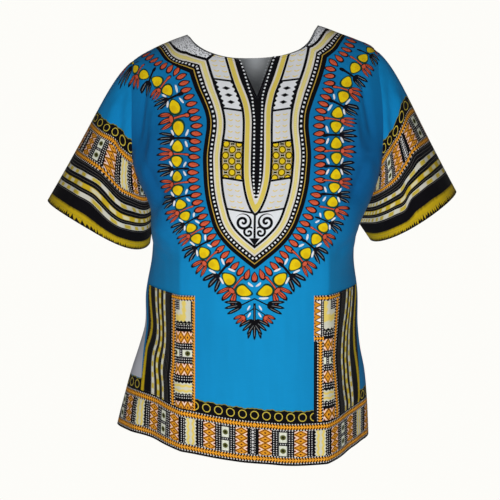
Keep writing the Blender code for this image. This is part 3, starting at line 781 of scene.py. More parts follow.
def borderPrint(along, across):
    # blocks between dotted bars: diamonds, squares, diamonds, a scalloped cream panel, and again
    q = abs(along.op("FLOORED_MODULO", border["repeat"]) - border["squares"])
    bar = (q - border["bar"]).wrap(border["barPitch"])
    barDots = spot(abs(bar) - border["barHalf"], across.wrap(border["barDotPitch"]), 0.9, 0.9).under(1, 0.5)
    colour = paint(ink["black"], ink["dot"], barDots)
    halfWide, halfHigh = border["diamondHalfWide"], border["diamondHalfHigh"]
    cell = across.op("FLOORED_MODULO", border["cellHigh"]) - halfHigh
    fromDiamonds = abs(q - border["diamonds"])
    slant = fromDiamonds * (1 / halfWide) + abs(cell) * (1 / halfHigh)
    diamond = ramp(slant, 2, [
        (0, rgb(100, 24, 10)), (0.26, rgb(238, 170, 50)), (0.5, rgb(224, 146, 36)), (0.82, rgb(60, 22, 8)),
        (1.02, ink["orange"]), (1.22, rgb(246, 220, 204)), (1.58, rgb(206, 96, 50)), (1.7, ink["brown"]),
    ])
    colour = paint(colour, diamond, fromDiamonds.under(border["diamondsHalf"]))
    tall = across.op("FLOORED_MODULO", border["squareHigh"]) - border["squareHigh"] / 2
    flower = ramp(radius(q, tall), 12, [
        (0, rgb(30, 28, 12)), (1.9, ink["olive"]), (3.9, rgb(150, 156, 124)), (4.7, rgb(226, 228, 210)),
    ])
    box = q.most(abs(tall) - 3.0)
    flower = paint(flower, rgb(110, 112, 110), abs(box - 6.3).under(0.5))
    flower = paint(flower, ink["black"], abs(tall).over(9.2))
    flower = paint(flower, ink["dot"], spot(q.wrap(3.7), abs(tall) - 11.6, 0.9, 0.9).under(1, 0.5))
    colour = paint(colour, flower, q.under(border["squareHalf"]))
    side = abs(q - border["cream"])
    lobes = abs(across.wrap(halfHigh)) * 0.8
    ripple = abs(side - 4.4 + across.wave(border["cellHigh"], 0.9))
    cream = paint(ink["cream"], ink["paleYellow"], ripple.under(2.0, 1.6))
    cream = paint(cream, ink["black"], (side + lobes).over(10.4))
    colour = paint(colour, cream, side.under(border["creamHalf"]))
    # the middle block, before the first diamonds
    oval = spot(along + blockStart, across.wrap(halfHigh), 1.8, 2.2).under(1, 0.4)
    middle = paint(paint(colour, ink["black"], along.under(-4.6)), ink["dot"], oval)
    return [paint(colour, middle, along.under(0))]


ropeWidth = 12.6
ropePitch = 5.0
ropeHalf = 3.8


def ropeBand(along, across):
    # an orange rope between two rows of white dots
    rise = across - ropeWidth / 2
    dots = spot(along.wrap(ropePitch), abs(rise) - 5.2, 1.3, 1.0).under(1, 0.4)
    colour = paint(rgb(20, 10, 8), ink["dot"], dots)
    strand = abs((along + abs(rise) * 0.7).wrap(ropePitch))
    rope = paint(rgb(250, 168, 42), rgb(24, 8, 2), strand.under(1.2, 0.4) * abs(rise).over(0.9, 0.4))
    return [paint(colour, rope, abs(rise).under(ropeHalf, 0.4))]


ringSizes = {"top": 22.6, "pitch": 20.6, "middle": 11.2, "radius": 6.6, "lineHalf": 0.8}


def ringBand(along, across):
    # a black band of gold rings under a wavy gold line
    gold = rgb(206, 184, 70)
    top = along.wave(23, 0.9) + along.wave(9.7, 0.5) + ringSizes["top"]
    place = along.wrap(ringSizes["pitch"])
    away = abs(radius(place, across - ringSizes["middle"]) - ringSizes["radius"])
    ring = away.under(ringSizes["lineHalf"])
    colour = paint(ink["black"], gold, ring)
    colour = paint(colour, rgb(160, 158, 60), abs(across - top + 1.0).under(0.5))
    return [colour, (across - top).under(0)]


def stripeBand(along, across):
    # woven-look stripes up from a spiky yellow edge, 98 high
    spikes = noise(along.tree, 0.3, 3.0, vector(along, 0.0))
    stops = [
        (0, rgb(206, 176, 22)), (15.6, ink["black"]), (32.6, ink["darkGrey"]), (33.4, ink["black"]),
        (35.4, rgb(222, 220, 206)), (43.4, ink["black"]), (47.2, ink["darkGrey"]), (47.9, ink["black"]),
        (51.4, rgb(214, 184, 40)), (59.8, ink["black"]), (64.8, ink["darkGrey"]), (65.5, ink["black"]),
        (70.4, rgb(222, 220, 206)), (78.4, ink["black"]), (82.6, ink["darkGrey"]), (83.4, ink["black"]),
        (88, ink["darkGrey"]), (88.8, ink["black"]), (93, ink["darkGrey"]), (93.8, ink["black"]),
    ]
    colour = ramp(across, 100, stops)
    checks = abs(along.wrap(19)).under(4.6, 2.5)
    inPale = across.between(36.2, 42.6) + across.between(71.2, 77.6)
    colour = paint(colour, rgb(214, 190, 66), checks * inPale)
    colour = paint(colour, rgb(226, 220, 180), checks * across.between(52.2, 59))
    low = (across + abs(along.wrap(2.2)) * 4.4 - spikes * 13).under(0, 1.8)
    high = (across + spikes * 5).over(17, 5) * across.under(17)
    return [paint(colour, ink["black"], low.most(high))]


bibPanel = 34  # how far inside the bib's edge its patterned panel starts
bibSections = {"top": -79, "seeds": -130.5, "comb": -184, "combFoot": -246, "scrolls": -303}


def bibPrint(ground, sideIn, sideAlong, yokeIn, yokeAlong, innerIn, slitIn, out, level):
    depth = sideIn.most(yokeIn) * (level.over(-105, 50) * -0.13 + out.over(132, 24) * 0.32 + 1.05)
    onYoke = (yokeIn - sideIn).over(0)
    along = sideAlong + (yokeAlong - sideAlong) * onYoke
    bands = ramp(depth, 100, [
        (0, ink["black"]), (7, ink["gold"]), (8.3, ink["black"]), (18, ink["band"]),
        (21.4, rgb(224, 208, 124)), (26.8, ink["band"]), (29.6, ink["black"]), (bibPanel, ink["white"]),
    ])
    bands = paint(bands, ink["white"], abs(along.wrap(7.2)).under(1.6) * abs(depth - 13.8).under(1.7))
    links = spot(along.wrap(2.6), depth - 24.1, 0.8, 1.6).under(1, 0.6)
    bands = paint(bands, rgb(240, 228, 160), links * 0.6)
    # the panel between the bands, in sections from the neck down
    panel = (depth - bibPanel + innerIn + 3.2) * 0.5
    row = (level + panel * 0.12).op("FLOORED_MODULO", 9.6) - 4.8
    fromColumn = abs(panel) - 6.1
    smile = abs(radius(fromColumn, row - 2.6) - 3.9).under(0.95, 0.7) * row.under(0.9)
    crescents = paint(rgb(218, 219, 222), ink["paleYellow"], smile * 0.9)
    teeth = (innerIn * -1.0).least(depth - 30.8) + level.wave(8.1, 1.5)
    seeds = abs(panel) * (1 / 6.4) + abs((level + 105.5).wrap(12.2)) * (1 / 3.4)
    seeds = seeds.under(1) * level.between(-124, -87)
    seeded = paint(ink["white"], ink["black"], teeth.under(4.9).most(seeds))
    near = radius(panel.wrap(22), (level + 216).wrap(18.7))
    far = radius((panel + 11).wrap(22), (level + 225.35).wrap(18.7))
    disc = near.least(far)
    comb = ramp(disc, 12, [
        (0, rgb(232, 200, 30)), (4.3, ink["black"]), (5.7, rgb(196, 160, 40)), (6.5, ink["black"]),
        (7.0, rgb(214, 210, 180)), (7.9, rgb(40, 34, 16)), (9.6, rgb(206, 170, 44)),
    ])
    fill = paint(crescents, seeded, level.between(bibSections["seeds"], bibSections["top"]))
    fill = paint(fill, comb, level.between(bibSections["combFoot"], bibSections["comb"]))
    # mirrored scrolls over the tip
    scroll = ink["white"]
    for x, y, size, pitch, spin in ((19.6, -318, 14.6, 8.8, 1), (9.8, -336, 10.8, 7.6, -1)):
        dx, dy = out - x, level - y
        r = radius(dx, dy)
        turn = dy.op("ARCTAN2", dx) * (spin / (2 * math.pi))
        line = abs((r * (1 / pitch) + turn).wrap(1.0)).under(0.26, 0.06) * r.under(size)
        scroll = paint(scroll, ink["black"], line)
    stem = out.under(1.9) * level.between(-346, -306)
    spire = (out - (level + 359) * 0.72).under(0) * level.between(-359, -346)
    scroll = paint(scroll, ink["white"], out.under(3.6) * level.between(-346, -304))
    scroll = paint(scroll, ink["black"], spire.most(stem))
    aboveScrolls = level - out * 0.16 - bibSections["scrolls"]
    fill = paint(fill, scroll, aboveScrolls.under(0))
    slanted = level + panel * 0.15
    divider = abs(aboveScrolls).under(1.6)
    for name in ("top", "seeds", "comb", "combFoot"):
        divider = divider.most(abs(slanted - bibSections[name]).under(1.75))
    fill = paint(fill, ink["black"], divider)
    grain = noise(ground.tree, 620, 2.0)
    speckled = paint(rgb(244, 246, 250), rgb(44, 44, 52), grain.over(0.575, 0.06))
    fill = paint(fill, speckled, onYoke)
    fill = paint(fill, ink["black"], abs(yokeIn - sideIn).under(2.6))
    bands = paint(bands, fill, depth.over(bibPanel))
    # the inner band, and the rows of dots beside the slit
    inner = ramp(innerIn + 10, 100, [
        (0, ink["black"]), (10, ink["band"]), (10.9, ink["chain"]), (17.8, ink["band"]),
        (20.8, ink["black"]),
    ])
    dots = spot(level.wrap(6.2), slitIn, 1.6, 1.6).under(1, 0.4) * level.over(-280)
    inner = paint(inner, ink["white"], dots)
    bands = paint(bands, inner, innerIn.over(-3.8))
    return [paint(ground, bands, depth.over(0, 0.5))]


def petals(colour, c, e, base, length, fillInk, lineInk, mask):
    # three long fingers over a small cup
    far = e - base
    aside = abs(c)
    finger = aside.least(abs(aside - far * 0.24 - 4.6))
    reach = far - length * 0.5 + aside * 0.2
    shape = spot(finger, reach, 2.9, length * 0.52)
    shape = shape.least(spot(c, far - 1.5, 5.6, 4.6))
    colour = paint(colour, ink["black"], shape.under(1.2, 0.3) * mask)
    colour = paint(colour, fillInk, shape.under(0.5, 0.3) * mask)
    vein = finger.under(0.5, 0.4) * reach.between(-length * 0.3, length * 0.34, 2)
    return paint(colour, lineInk, vein * mask * aside.under(12))


def flowerRings(ground, ovalAlong, ovalOut, budIndex, budOut, out, level):
    # ovals, round outside and pointed towards the bib
    a = ovalAlong.wrap(ovalPitch) / (ovalOut * 0.04 + 1.0).least(1.02)
    colour = paint(ground, ink["black"], spot(a, ovalOut, 5.5, 10.8).under(1.02, 0.3))
    core = spot(a, ovalOut + 0.2, 3.7, 8.3).under(0.92, 0.3)
    colour = paint(colour, ink["red"], core)
    colour = paint(colour, rgb(150, 48, 30), abs(a - 1.3).under(0.4) * (ovalOut + 2).between(-5, 4) * core)
    # sprigs: a stem with a knob, and an open flower that bends towards the tip
    number = (budIndex + 0.5).op("FLOOR")
    odd = number.op("FLOORED_MODULO", 2.0).over(0.5, 0.1)
    real = budIndex.over(0.52, 0.02)
    beyond = (budOut - 4).most(0.0)
    lean = number.op("MULTIPLY_ADD", 0.0024, -0.0016).least(0.007)
    c = budIndex.wrap(1.0) * budWidth + beyond * beyond * lean + budOut.wave(46, 0.7)
    dark, light = paint(rgb(14, 12, 22), ink["red"], odd), paint(ink["darkVein"], ink["redVein"], odd)
    knob = spot(c, budOut + 17, 2.1, 5)
    stem = abs(c).under(1.7) * budOut.between(-17, 12)
    colour = paint(colour, ink["black"], stem.most(knob.under(1.5)) * real)
    colour = paint(colour, dark, (abs(c).under(0.9) * budOut.between(-16, 12)).most(knob.under(0.6)) * real)
    colour = petals(colour, c, budOut, 9.5, 24, dark, light, real)
    # pear-shaped buds between the sprigs, pointed towards the dark ones
    b = (budIndex - 0.5).wrap(1.0) * budWidth
    whole = budIndex.op("FLOOR")
    point = b * (whole.op("FLOORED_MODULO", 2.0) * 2.0 - 1.0)
    pear = spot(point, budOut / (point * -0.04 + 1.0), 8.8, 8.3)
    away = budIndex.over(0.02, 0.02)
    colour = paint(colour, ink["leaf"], pear.under(1.66, 0.3) * away)
    bud = paint(ink["yellow"], rgb(206, 158, 10), spot(point + 3.4, budOut - 3, 4.5, 5).under(1, 1.2) * 0.4)
    colour = paint(colour, bud, pear.under(0.98, 0.2) * away)
    # four white dashes round each dark sprig
    p, q = abs(budIndex.wrap(1.0)) * budWidth - 8.6, abs(budOut + 2.3) - 12.6
    dash = spot(p * 0.9 + q * 0.43, q * 0.9 - p * 0.43, 5.4, 1.8).under(1, 0.3)
    colour = paint(colour, ink["white"], dash * (odd * -1.0 + 1.0) * budIndex.under(15))

    # the spray under the tip
    branch = abs(level + 450 + out * 0.5).under(1.3) * out.under(34)
    branch = branch.most(abs(level + 466 + out * 0.66).under(1.1) * out.under(22))
    branch = branch.most(out.under(2.2) * level.between(-502, -458))
    colour = paint(colour, ink["black"], branch)
    colour = paint(colour, rgb(112, 114, 110), out.under(0.4) * level.between(-496, -462))
    for x, y, length, turn, fillInk, lineInk in (
        (25, -461, 25, 1.35, "black", "darkVein"), (18, -482, 17, 0.9, "red", "redVein"),
        (0, -492, 27, 0.0, "black", "darkVein"), (3, -490, 22, 0.85, "black", "darkVein"),
    ):
        dx, dy = out - x, (level - y) * -1.0
        across = dx * math.cos(turn) - dy * math.sin(turn)
        ahead = dx * math.sin(turn) + dy * math.cos(turn)
        shown = ahead.over(-4) * out.over(-1)
        colour = petals(colour, across, ahead, 0.0, length, ink[fillInk], ink[lineInk], shown)
    for x, y, slope in ((10, -466, 0.6), (9, -478, 0.6)):
        dx, dy = out - x, level - y
        stroke = spot(dx + dy * slope, dy - dx * slope, 1.8, 5.6).under(1, 0.3)
        colour = paint(colour, ink["white"], stroke)
    return [colour]


threadPitch = 0.62


def cottonWeave(across, up):
    # plain weave, with slubs and a little unevenness of the dye
    tree = across.tree
    threads = across.wave(threadPitch, 1.0) * up.wave(threadPitch, 1.0)
    slub = noise(tree, 1.0, 3.0, vector(across * 0.06, up * 0.9))
    rumple = noise(tree, 26, 3.0)
    height = threads * 0.05 + slub * 0.16 + rumple * 0.7
    streaks = noise(tree, 1.0, 3.0, vector(across * 0.05, up * 0.006))
    tint = noise(tree, 9, 4.0) * 0.16 + streaks * 0.18 + slub * 0.1 + 0.78
    return [height, tint]


bibInputs = ["Side in", "Side along", "Yoke in", "Yoke along", "Inner in", "Slit in", "Out", "Level"]
flowerInputs = ["Oval along", "Oval out", "Bud index", "Bud out", "Out", "Level"]
groups = {
    "border": makeGroup(borderPrint, ["Along", "Across"], ["Colour"]),
    "rope": makeGroup(ropeBand, ["Along", "Across"], ["Colour"]),
    "rings": makeGroup(ringBand, ["Along", "Across"], ["Colour", "Mask"]),
    "stripes": makeGroup(stripeBand, ["Along", "Across"], ["Colour"]),
    "bib": makeGroup(bibPrint, ["Ground"] + bibInputs, ["Colour"]),
    "flowers": makeGroup(flowerRings, ["Ground"] + flowerInputs, ["Colour"]),
    "weave": makeGroup(cottonWeave, ["Across", "Up"], ["Height", "Tint"]),
}
print("print groups made")


cotton = {"Roughness": 0.9, "Specular IOR Level": 0.12, "Sheen Weight": 0.04, "Sheen Roughness": 0.45}
cottonBump = {"Strength": 0.55, "Distance": 0.0012}
reverseSide = {"colour": rgb(222, 226, 230), "cover": 0.66}
# painted light and shade on the blue ground: lighter low in the middle, darker above it, and darker still on
# the flanks about the chest
paintedGroundShade = {"brightLevel": -300, "brightOut": 150, "flankLevel": -235, "flankHalf": 105, "flankOut": 120}
hemStretch = {"from": -3.0, "until": 112.0, "share": 0.095}  # wider blocks on the wearer's left
bareStrip = {"out": 224, "slope": 0.12, "foot": 96, "top": 330, "colour": rgb(196, 198, 208)}
bodyBand = {"edge": 3.2, "lowRope": 3.2, "blocks": 14, "blocksTop": 62, "topRope": 60.8, "rings": 73}
# the band's places up the sleeve, in mm; the last two entries set a painted shade over the lower sleeve
sleeveBand = {
    "lowRope": 96, "blocks": 107.5, "blocksTop": 160, "topRope": 152, "rings": 163, "ringStretch": 0.8,
    "ground": rgb(14, 136, 200), "farOut": 300, "paintedShadeTop": 165, "shade": 0.12,
}


def newMaterial(name, finish):
    made = bpy.data.materials.new(name)
    made.use_nodes = True
    shader = made.node_tree.nodes["Principled BSDF"]
    setInputs(shader, finish)
    return made, made.node_tree, shader


def setInputs(node, values):
    for label, value in values.items():
        node.inputs[label].default_value = value


def addBump(tree, shader, height, values):
    bump = tree.nodes.new("ShaderNodeBump")
    setInputs(bump, values)
    put(tree, height, bump.inputs["Height"])
    tree.links.new(bump.outputs[0], shader.inputs["Normal"])


def clothShader(name, paintCloth, reverse=False):
    made, tree, shader = newMaterial(name, cotton)
    across, up, level = attribute(tree, "cloth")
    colour = paintCloth(tree, across, up, level)
    height, tint = useGroup(tree, groups["weave"], across, up)
    if reverse:
        colour = paint(colour, reverseSide["colour"], reverseSide["cover"])
    shade = tree.nodes.new("ShaderNodeMix")
    shade.data_type, shade.blend_type = "RGBA", "MULTIPLY"
    shade.inputs[0].default_value = 1.0
    put(tree, colour, shade.inputs[6])
    put(tree, tint, shade.inputs[7])
    tree.links.new(shade.outputs[2], shader.inputs["Base Color"])
    addBump(tree, shader, height, cottonBump)
    return made


def layFlowers(tree, ground, out, level):
    ovals, buds = attribute(tree, "ovals")[:2], attribute(tree, "buds")[:2]
    return useGroup(tree, groups["flowers"], ground, *ovals, *buds, out, level)[0]


def layRope(tree, colour, along, up, foot):
    rope = useGroup(tree, groups["rope"], along, up - foot)[0]
    return paint(colour, rope, up.between(foot, foot + ropeWidth))


def layBorder(tree, colour, ringsAlong, blocksAlong, ropeAlong, up, band):
    # the ring band, the blocks under it and a rope along each edge of the blocks
    ringColour, ringMask = useGroup(tree, groups["rings"], ringsAlong, up - band["rings"])
    colour = paint(colour, ringColour, ringMask)
    blocks = useGroup(tree, groups["border"], blocksAlong - blockStart, up - band["blocks"])[0]
    colour = paint(colour, blocks, up.under(band["blocksTop"]))
    colour = layRope(tree, colour, ropeAlong, up, band["topRope"])
    return layRope(tree, colour, ropeAlong, up, band["lowRope"])


def bodyPrint(face):
    def paintCloth(tree, across, up, level):
        out = abs(across)
        # painted light and shade: the ground blue is lit low in the middle and shaded above it, and the
        # flanks about the chest get a deeper painted shade
        bright = level.under(paintedGroundShade["brightLevel"], 260) * out.under(paintedGroundShade["brightOut"], 200)
        ground = paint(ink["shadedBlue"], ink["blue"], bright)
        paintedFlankShade = abs(level - paintedGroundShade["flankLevel"]).under(paintedGroundShade["flankHalf"], 130)
        paintedFlankShade = paintedFlankShade * out.over(paintedGroundShade["flankOut"], 110)
        colour = layFlowers(tree, paint(ground, ink["shadeBlue"], paintedFlankShade), out, level)
        sideIn, sideAlong, innerIn = attribute(tree, "bibSide")
        yokeIn, yokeAlong, slitIn = attribute(tree, "bibYoke")
        bibPlaces = sideIn, sideAlong, yokeIn, yokeAlong, innerIn, slitIn
        colour = useGroup(tree, groups["bib"], colour, *bibPlaces, out, level)[0]
        if face == "front":
            shown = (across * -1.0 - up * bareStrip["slope"]).over(bareStrip["out"])
            shown = shown * up.between(bareStrip["foot"], bareStrip["top"])
            colour = paint(colour, bareStrip["colour"], shown)
        hung = across - hemStretch["from"]
        bands = abs(hung) - hung.most(0.0).least(hemStretch["until"]) * hemStretch["share"]
        colour = layBorder(tree, colour, out, bands, out, up, bodyBand)
        return paint(colour, ink["black"], up.under(bodyBand["edge"]))
    return paintCloth


def sleevePrint(middle):
    def paintCloth(tree, around, up, level):
        band = sleeveBand
        colour = layFlowers(tree, band["ground"], band["farOut"], level)
        blocksAlong = abs(around - middle)
        colour = layBorder(tree, colour, around * band["ringStretch"], blocksAlong, around, up, band)
        stripes = useGroup(tree, groups["stripes"], around, up)[0]
        colour = paint(colour, stripes, up.under(band["lowRope"]))
        # painted shade: the sleeve is darkened a little over its lower 165 mm, towards the cuff
        return paint(colour, ink["black"], up.under(band["paintedShadeTop"]) * band["shade"])
    return paintCloth


pocketBand = {
    "rope": 36.5, "ropeEnd": 49, "edge": 17, "squares": 82, "squaresEnd": 106, "blocks": 60, "corner": 48.5,
    "stripesEdge": 131, "stripesStretch": 1.27, "turn": 69, "turnEnd": 79, "leftLower": 13,
}


def pocketPrint(side):
    def paintCloth(tree, across, down, level):
        # across runs from the pocket's inner edge, down from its mouth
        band, low = pocketBand, 0 if side == "right" else pocketBand["leftLower"]
        squares = down.between(band["squares"] + low, band["squaresEnd"] + low) * -border["diamondHalfHigh"]
        blocks = useGroup(tree, groups["border"], down + (band["blocks"] - low), across + squares + 4.7)[0]
        # the corner piece: cream round a dotted square
        corner = (across * -1.0 + 36.5).most((down - 8) * 0.56)
        dots = spot(across.wrap(3.7), down.wrap(3.7), 1.0, 1.0).under(1, 0.5)
        square = paint(ink["black"], ink["dot"], dots)
        ripple = abs(corner - 17.5 + (down + across).wave(11, 0.8))
        cream = paint(ink["cream"], ink["paleYellow"], ripple.under(3.2, 2))
        cream = paint(cream, square, corner.under(9.5))
        edge = (across * -1.0 + 31.5).most((down - 8) * 0.56 + abs(across.wrap(6.8)) * 0.5 + 3 - low * 0.56)
        cream = paint(cream, ink["black"], edge.over(24.5))
        colour = paint(blocks, cream, down.under(band["corner"] + low))
        stripesUp = (across * -1.0 + band["stripesEdge"]) * band["stripesStretch"]
        stripes = useGroup(tree, groups["stripes"], down, stripesUp)[0]
        colour = paint(colour, stripes, across.over(band["ropeEnd"]))
        rope = useGroup(tree, groups["rope"], down, across - band["rope"])[0]
        colour = paint(colour, rope, across.between(band["rope"], band["ropeEnd"]))
        top = useGroup(tree, groups["rope"], across, down * 1.33)[0]
        if side == "right":
            trim = useGroup(tree, groups["rope"], down, across * 1.2 + 5)[0]
            colour = paint(colour, trim, across.under(5.0))
            return paint(colour, top, down.under(9.2) * across.under(band["ropeEnd"]))
        # the other pocket is cut a little further over: teeth, then a rope, along its inner edge
        tooth = abs(down.wrap(10.6)) * (1 / 5.3) + (across * -1.0 + 12.5) * (1 / 11)
        teeth = ramp(tooth, 3, [
            (0, rgb(255, 240, 232)), (0.82, ink["brown"]), (1.1, ink["orange"]), (1.9, ink["brown"]),
        ])
        teeth = paint(teeth, square, across.over(11.5))
        lower = useGroup(tree, groups["rope"], down, (across - 5.5) * 1.1)[0]
        lower = paint(ink["black"], lower, across.over(5.5))
        turn = useGroup(tree, groups["rope"], across, (down - band["turn"]) * 1.26)[0]
        edge = paint(paint(teeth, turn, down.over(band["turn"])), lower, down.over(band["turnEnd"]))
        colour = paint(colour, edge, across.under(band["edge"]))
        return paint(colour, top, down.under(9.5) * across.under(band["ropeEnd"]))
    return paintCloth


materials = {}
blockMiddle = {"right": 36, "left": 97}  # where the middle of each sleeve's border lies, round it
for face in faceSign:
    materials[face] = clothShader(face + "Print", bodyPrint(face))
    materials[face + "Inside"] = clothShader(face + "PrintReverse", bodyPrint(face), reverse=True)
for side, middle in blockMiddle.items():
    name = side + "SleevePrint"
    materials["sleeve" + side] = clothShader(name, sleevePrint(middle))
    materials["sleeve" + side + "Inside"] = clothShader(name + "Reverse", sleevePrint(middle), reverse=True)
    materials["pocket" + side] = clothShader(side + "PocketPrint", pocketPrint(side))
print("cloth materials made")


def clothPiece(name, outer, normals, places, finishes, closed, thickness):
    # a thin wall: the outer face, the inner face set in, and the rims between them
    count, across = outer.shape[:2]
    inside = outer - normals * thickness[..., None]
    points = np.concatenate([outer.reshape(-1, 3), inside.reshape(-1, 3)])
    i, j = np.meshgrid(np.arange(count - 1), np.arange(across if closed else across - 1), indexing="ij")
    k = (j + 1) % across
    low, high = i * across, (i + 1) * across
    quads = np.stack([low + j, low + k, high + k, high + j], axis=-1).reshape(-1, 4)
    half = count * across
    if closed:
        loops = [np.arange(across), np.arange(count * across - 1, (count - 1) * across - 1, -1)]
    else:
        loop = panelLoop((count, across))
        loops = [loop[:, 0] * across + loop[:, 1]]
    ahead = [np.roll(loop, -1) for loop in loops]
    rims = [np.stack([a, a + half, b + half, b], axis=-1) for a, b in zip(loops, ahead)]
    faces = np.concatenate([quads, quads[:, ::-1] + half, *rims])
    mesh = bpy.data.meshes.new(name)
    mesh.from_pydata(points.tolist(), [], faces.tolist())
    for finish in finishes:
        mesh.materials.append(finish)
    slots = np.zeros(len(faces), int)
    slots[len(quads) : 2 * len(quads)] = len(finishes) - 1
    mesh.polygons.foreach_set("material_index", slots)
    for label, values in places.items():
        layer = mesh.attributes.new(label, "FLOAT_VECTOR", "POINT")
        layer.data.foreach_set("vector", np.tile(values.reshape(-1, 3), (2, 1)).ravel())
    mesh.update()
    mesh.shade_smooth()
    mesh.set_sharp_from_angle(angle=math.radians(55))
    piece = bpy.data.objects.new(name, mesh)
    bpy.context.scene.collection.objects.link(piece)
    return piece


def wallThickness(fromEdge, hemEnd):
    # thicker where the hem is turned in
    hem = smoothStep(hemEnd + 1, hemEnd - 1, fromEdge)
    return body["clothThickness"] + (body["hemThickness"] - body["clothThickness"]) * hem


def laidArea(grid, closed=False):
    wide = np.concatenate([grid, grid[:, :1]], axis=1) if closed else grid
    a, b = wide[1:, :-1] - wide[:-1, 1:], wide[1:, 1:] - wide[:-1, :-1]
    return float(np.linalg.norm(np.cross(a, b), axis=2).sum() / 2)


def longest(grid):
    wide = np.linalg.norm(np.diff(grid, axis=1), axis=2).sum(axis=1).max()
    high = np.linalg.norm(np.diff(grid, axis=0), axis=2).sum(axis=0).max()
    return float(wide), float(high)


# The panels and sleeves
panels, cloths = {}, {}
for face in faceSign:
    panels[face], cloths[face] = panelGrid(face)
shape = panels["front"].shape[:2]
places = {side: armholePlaces(shape, side) for side in cuffs}
armholes = {side: atPlaces(panels, places[side]) for side in cuffs}
bothArmholes = np.concatenate(list(armholes.values()))
sleeves, sleeveEdge = {}, {}
for side, ring in armholes.items():
    grid = sleeveGrid(ring, side)[::-1]
    fade = smoothStep(0, body["foldFade"], edgeDistance(grid, ring))
    grid, fade = (grid, fade) if side == "right" else (grid[:, ::-1], fade[:, ::-1])
    sleeves[side] = folded(folded(grid, sleeveFolds, fade, True), sleeveCreases, fade, True)
for face, grid in panels.items():
    fade = smoothStep(0, body["foldFade"], edgeDistance(grid, bothArmholes))
    panels[face] = folded(folded(grid, bodyFolds, fade), bodyCreases, fade)

normals = {face: gridNormals(grid, False) for face, grid in panels.items()}
joinNormals(normals)
sleeveNormals = {side: gridNormals(grid, True) for side, grid in sleeves.items()}
tipRow, lastColumn = shape[0] - 1, shape[1] - 1
for side, ring in armholes.items():
    order = slice(None) if side == "right" else slice(None, None, -1)
    edge = sleeveNormals[side][-1, order]
    edge[:] = armholeNormals(ring, atPlaces(normals, places[side]), edge, side)
    for (face, row, col), normal in zip(places[side], edge):
        normals[face][row, col] = normal
        if row in (tipRow, tipRow - rows["chest"]):
            normals["back"][row, lastColumn - col] = normal

# Sewn seams sink in a little
shoulderColumns = np.flatnonzero(np.concatenate([columnPlace[:0:-1], columnPlace]) >= len(frontNeckline) - 1)
sideRows = slice(0, shape[0] - rows["chest"])
for face, grid in panels.items():
    seams = np.concatenate([bothArmholes, grid[sideRows, 0], grid[sideRows, -1], grid[-1, shoulderColumns]])
    dip = body["seamDip"] * np.exp(-((edgeDistance(grid, seams) / body["seamDipWidth"]) ** 2))
    panels[face] = grid - normals[face] * dip[..., None]
for side, grid in sleeves.items():
    dip = body["seamDip"] * np.exp(-((edgeDistance(grid, armholes[side]) / body["seamDipWidth"]) ** 2))
    sleeves[side] = grid - sleeveNormals[side] * dip[..., None]
print("forms made")

pieces = {}
hemDepth = {"body": 12, "sleeve": 11}  # mm
loop = panelLoop(shape)
at = loop[:, 0], loop[:, 1]
for face, grid in panels.items():
    grid[at] += insetSteps(grid[at], normals[face][at])
    marks = {"cloth": cloths[face], **printPlaces(cloths[face])}
    thickness = wallThickness(cloths[face][..., 1], hemDepth["body"])
    finishes = [materials[face], materials[face + "Inside"]]
    pieces[face] = clothPiece(face + "Cloth", grid, normals[face], marks, finishes, False, thickness)
    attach(pieces[face], "root")
    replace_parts(pieces[face], face + "_panel")
    print(face, "made")

for side, grid in sleeves.items():
    rim = grid[0]
    fine = np.concatenate([rim * (1 - t) + np.roll(rim, -1, axis=0) * t for t in (0, 0.25, 0.5, 0.75)])
    up = edgeDistance(grid, fine) / mm
    order = slice(None) if side == "right" else slice(None, None, -1)
    steps = np.linalg.norm(np.diff(grid[:, order], axis=1), axis=2)
    around = np.concatenate([np.zeros((len(grid), 1)), np.cumsum(steps, axis=1)], axis=1) / mm
    closing = grid[:, order][:, -1] - grid[:, order][:, 0]
    total = around[:, -1:] + np.linalg.norm(closing, axis=1)[:, None] / mm
    half = around[:, rows["chest"]][:, None]
    around = np.where(around <= half, around, (total - around) * half / (total - half))[:, order]
    # the bands wander where the sleeve folds
    table = np.array(sleeveDrift[side], float)
    shifts = [smoothCurve(around, table[:, 0], table[:, k]) for k in range(1, table.shape[1])]
    shares = [np.interp(up, driftLevels, row) for row in np.eye(len(driftLevels))]
    up = up + sum(shift * share for shift, share in zip(shifts, shares))
    around = np.interp(around, packedAt, packedAround[side])
    twisted = clothTwist[side] * smoothStep(clothTwist["from"], clothTwist["full"], around)
    twisted = twisted * smoothStep(clothTwist["ends"], clothTwist["fades"], around)
    around = around + (up - clothTwist["height"]) * twisted
    ringCloth = atPlaces(cloths, places[side])[order]
    away = edgeDistance(grid, armholes[side]) / mm
    across = sideSign[side] * (abs(ringCloth[None, :, 0]) + away)
    level = np.broadcast_to(ringCloth[None, :, 2], away.shape)
    marks = printPlaces(np.stack([across, up, level], axis=-1))
    marks["cloth"] = np.stack([around, up, level], axis=-1)
    grid[-1] -= insetSteps(grid[-1], sleeveNormals[side][-1])
    thickness = wallThickness(edgeDistance(grid, fine) / mm, hemDepth["sleeve"])
    finishes = [materials["sleeve" + side], materials["sleeve" + side + "Inside"]]
    name = side + "SleeveCloth"
    pieces["sleeve" + side] = clothPiece(name, grid, sleeveNormals[side], marks, finishes, True, thickness)
    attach(pieces["sleeve" + side], "root")
    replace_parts(pieces["sleeve" + side], "sleeve_" + side)
    pieces["sleeve" + side]
    print(side, "sleeve made")

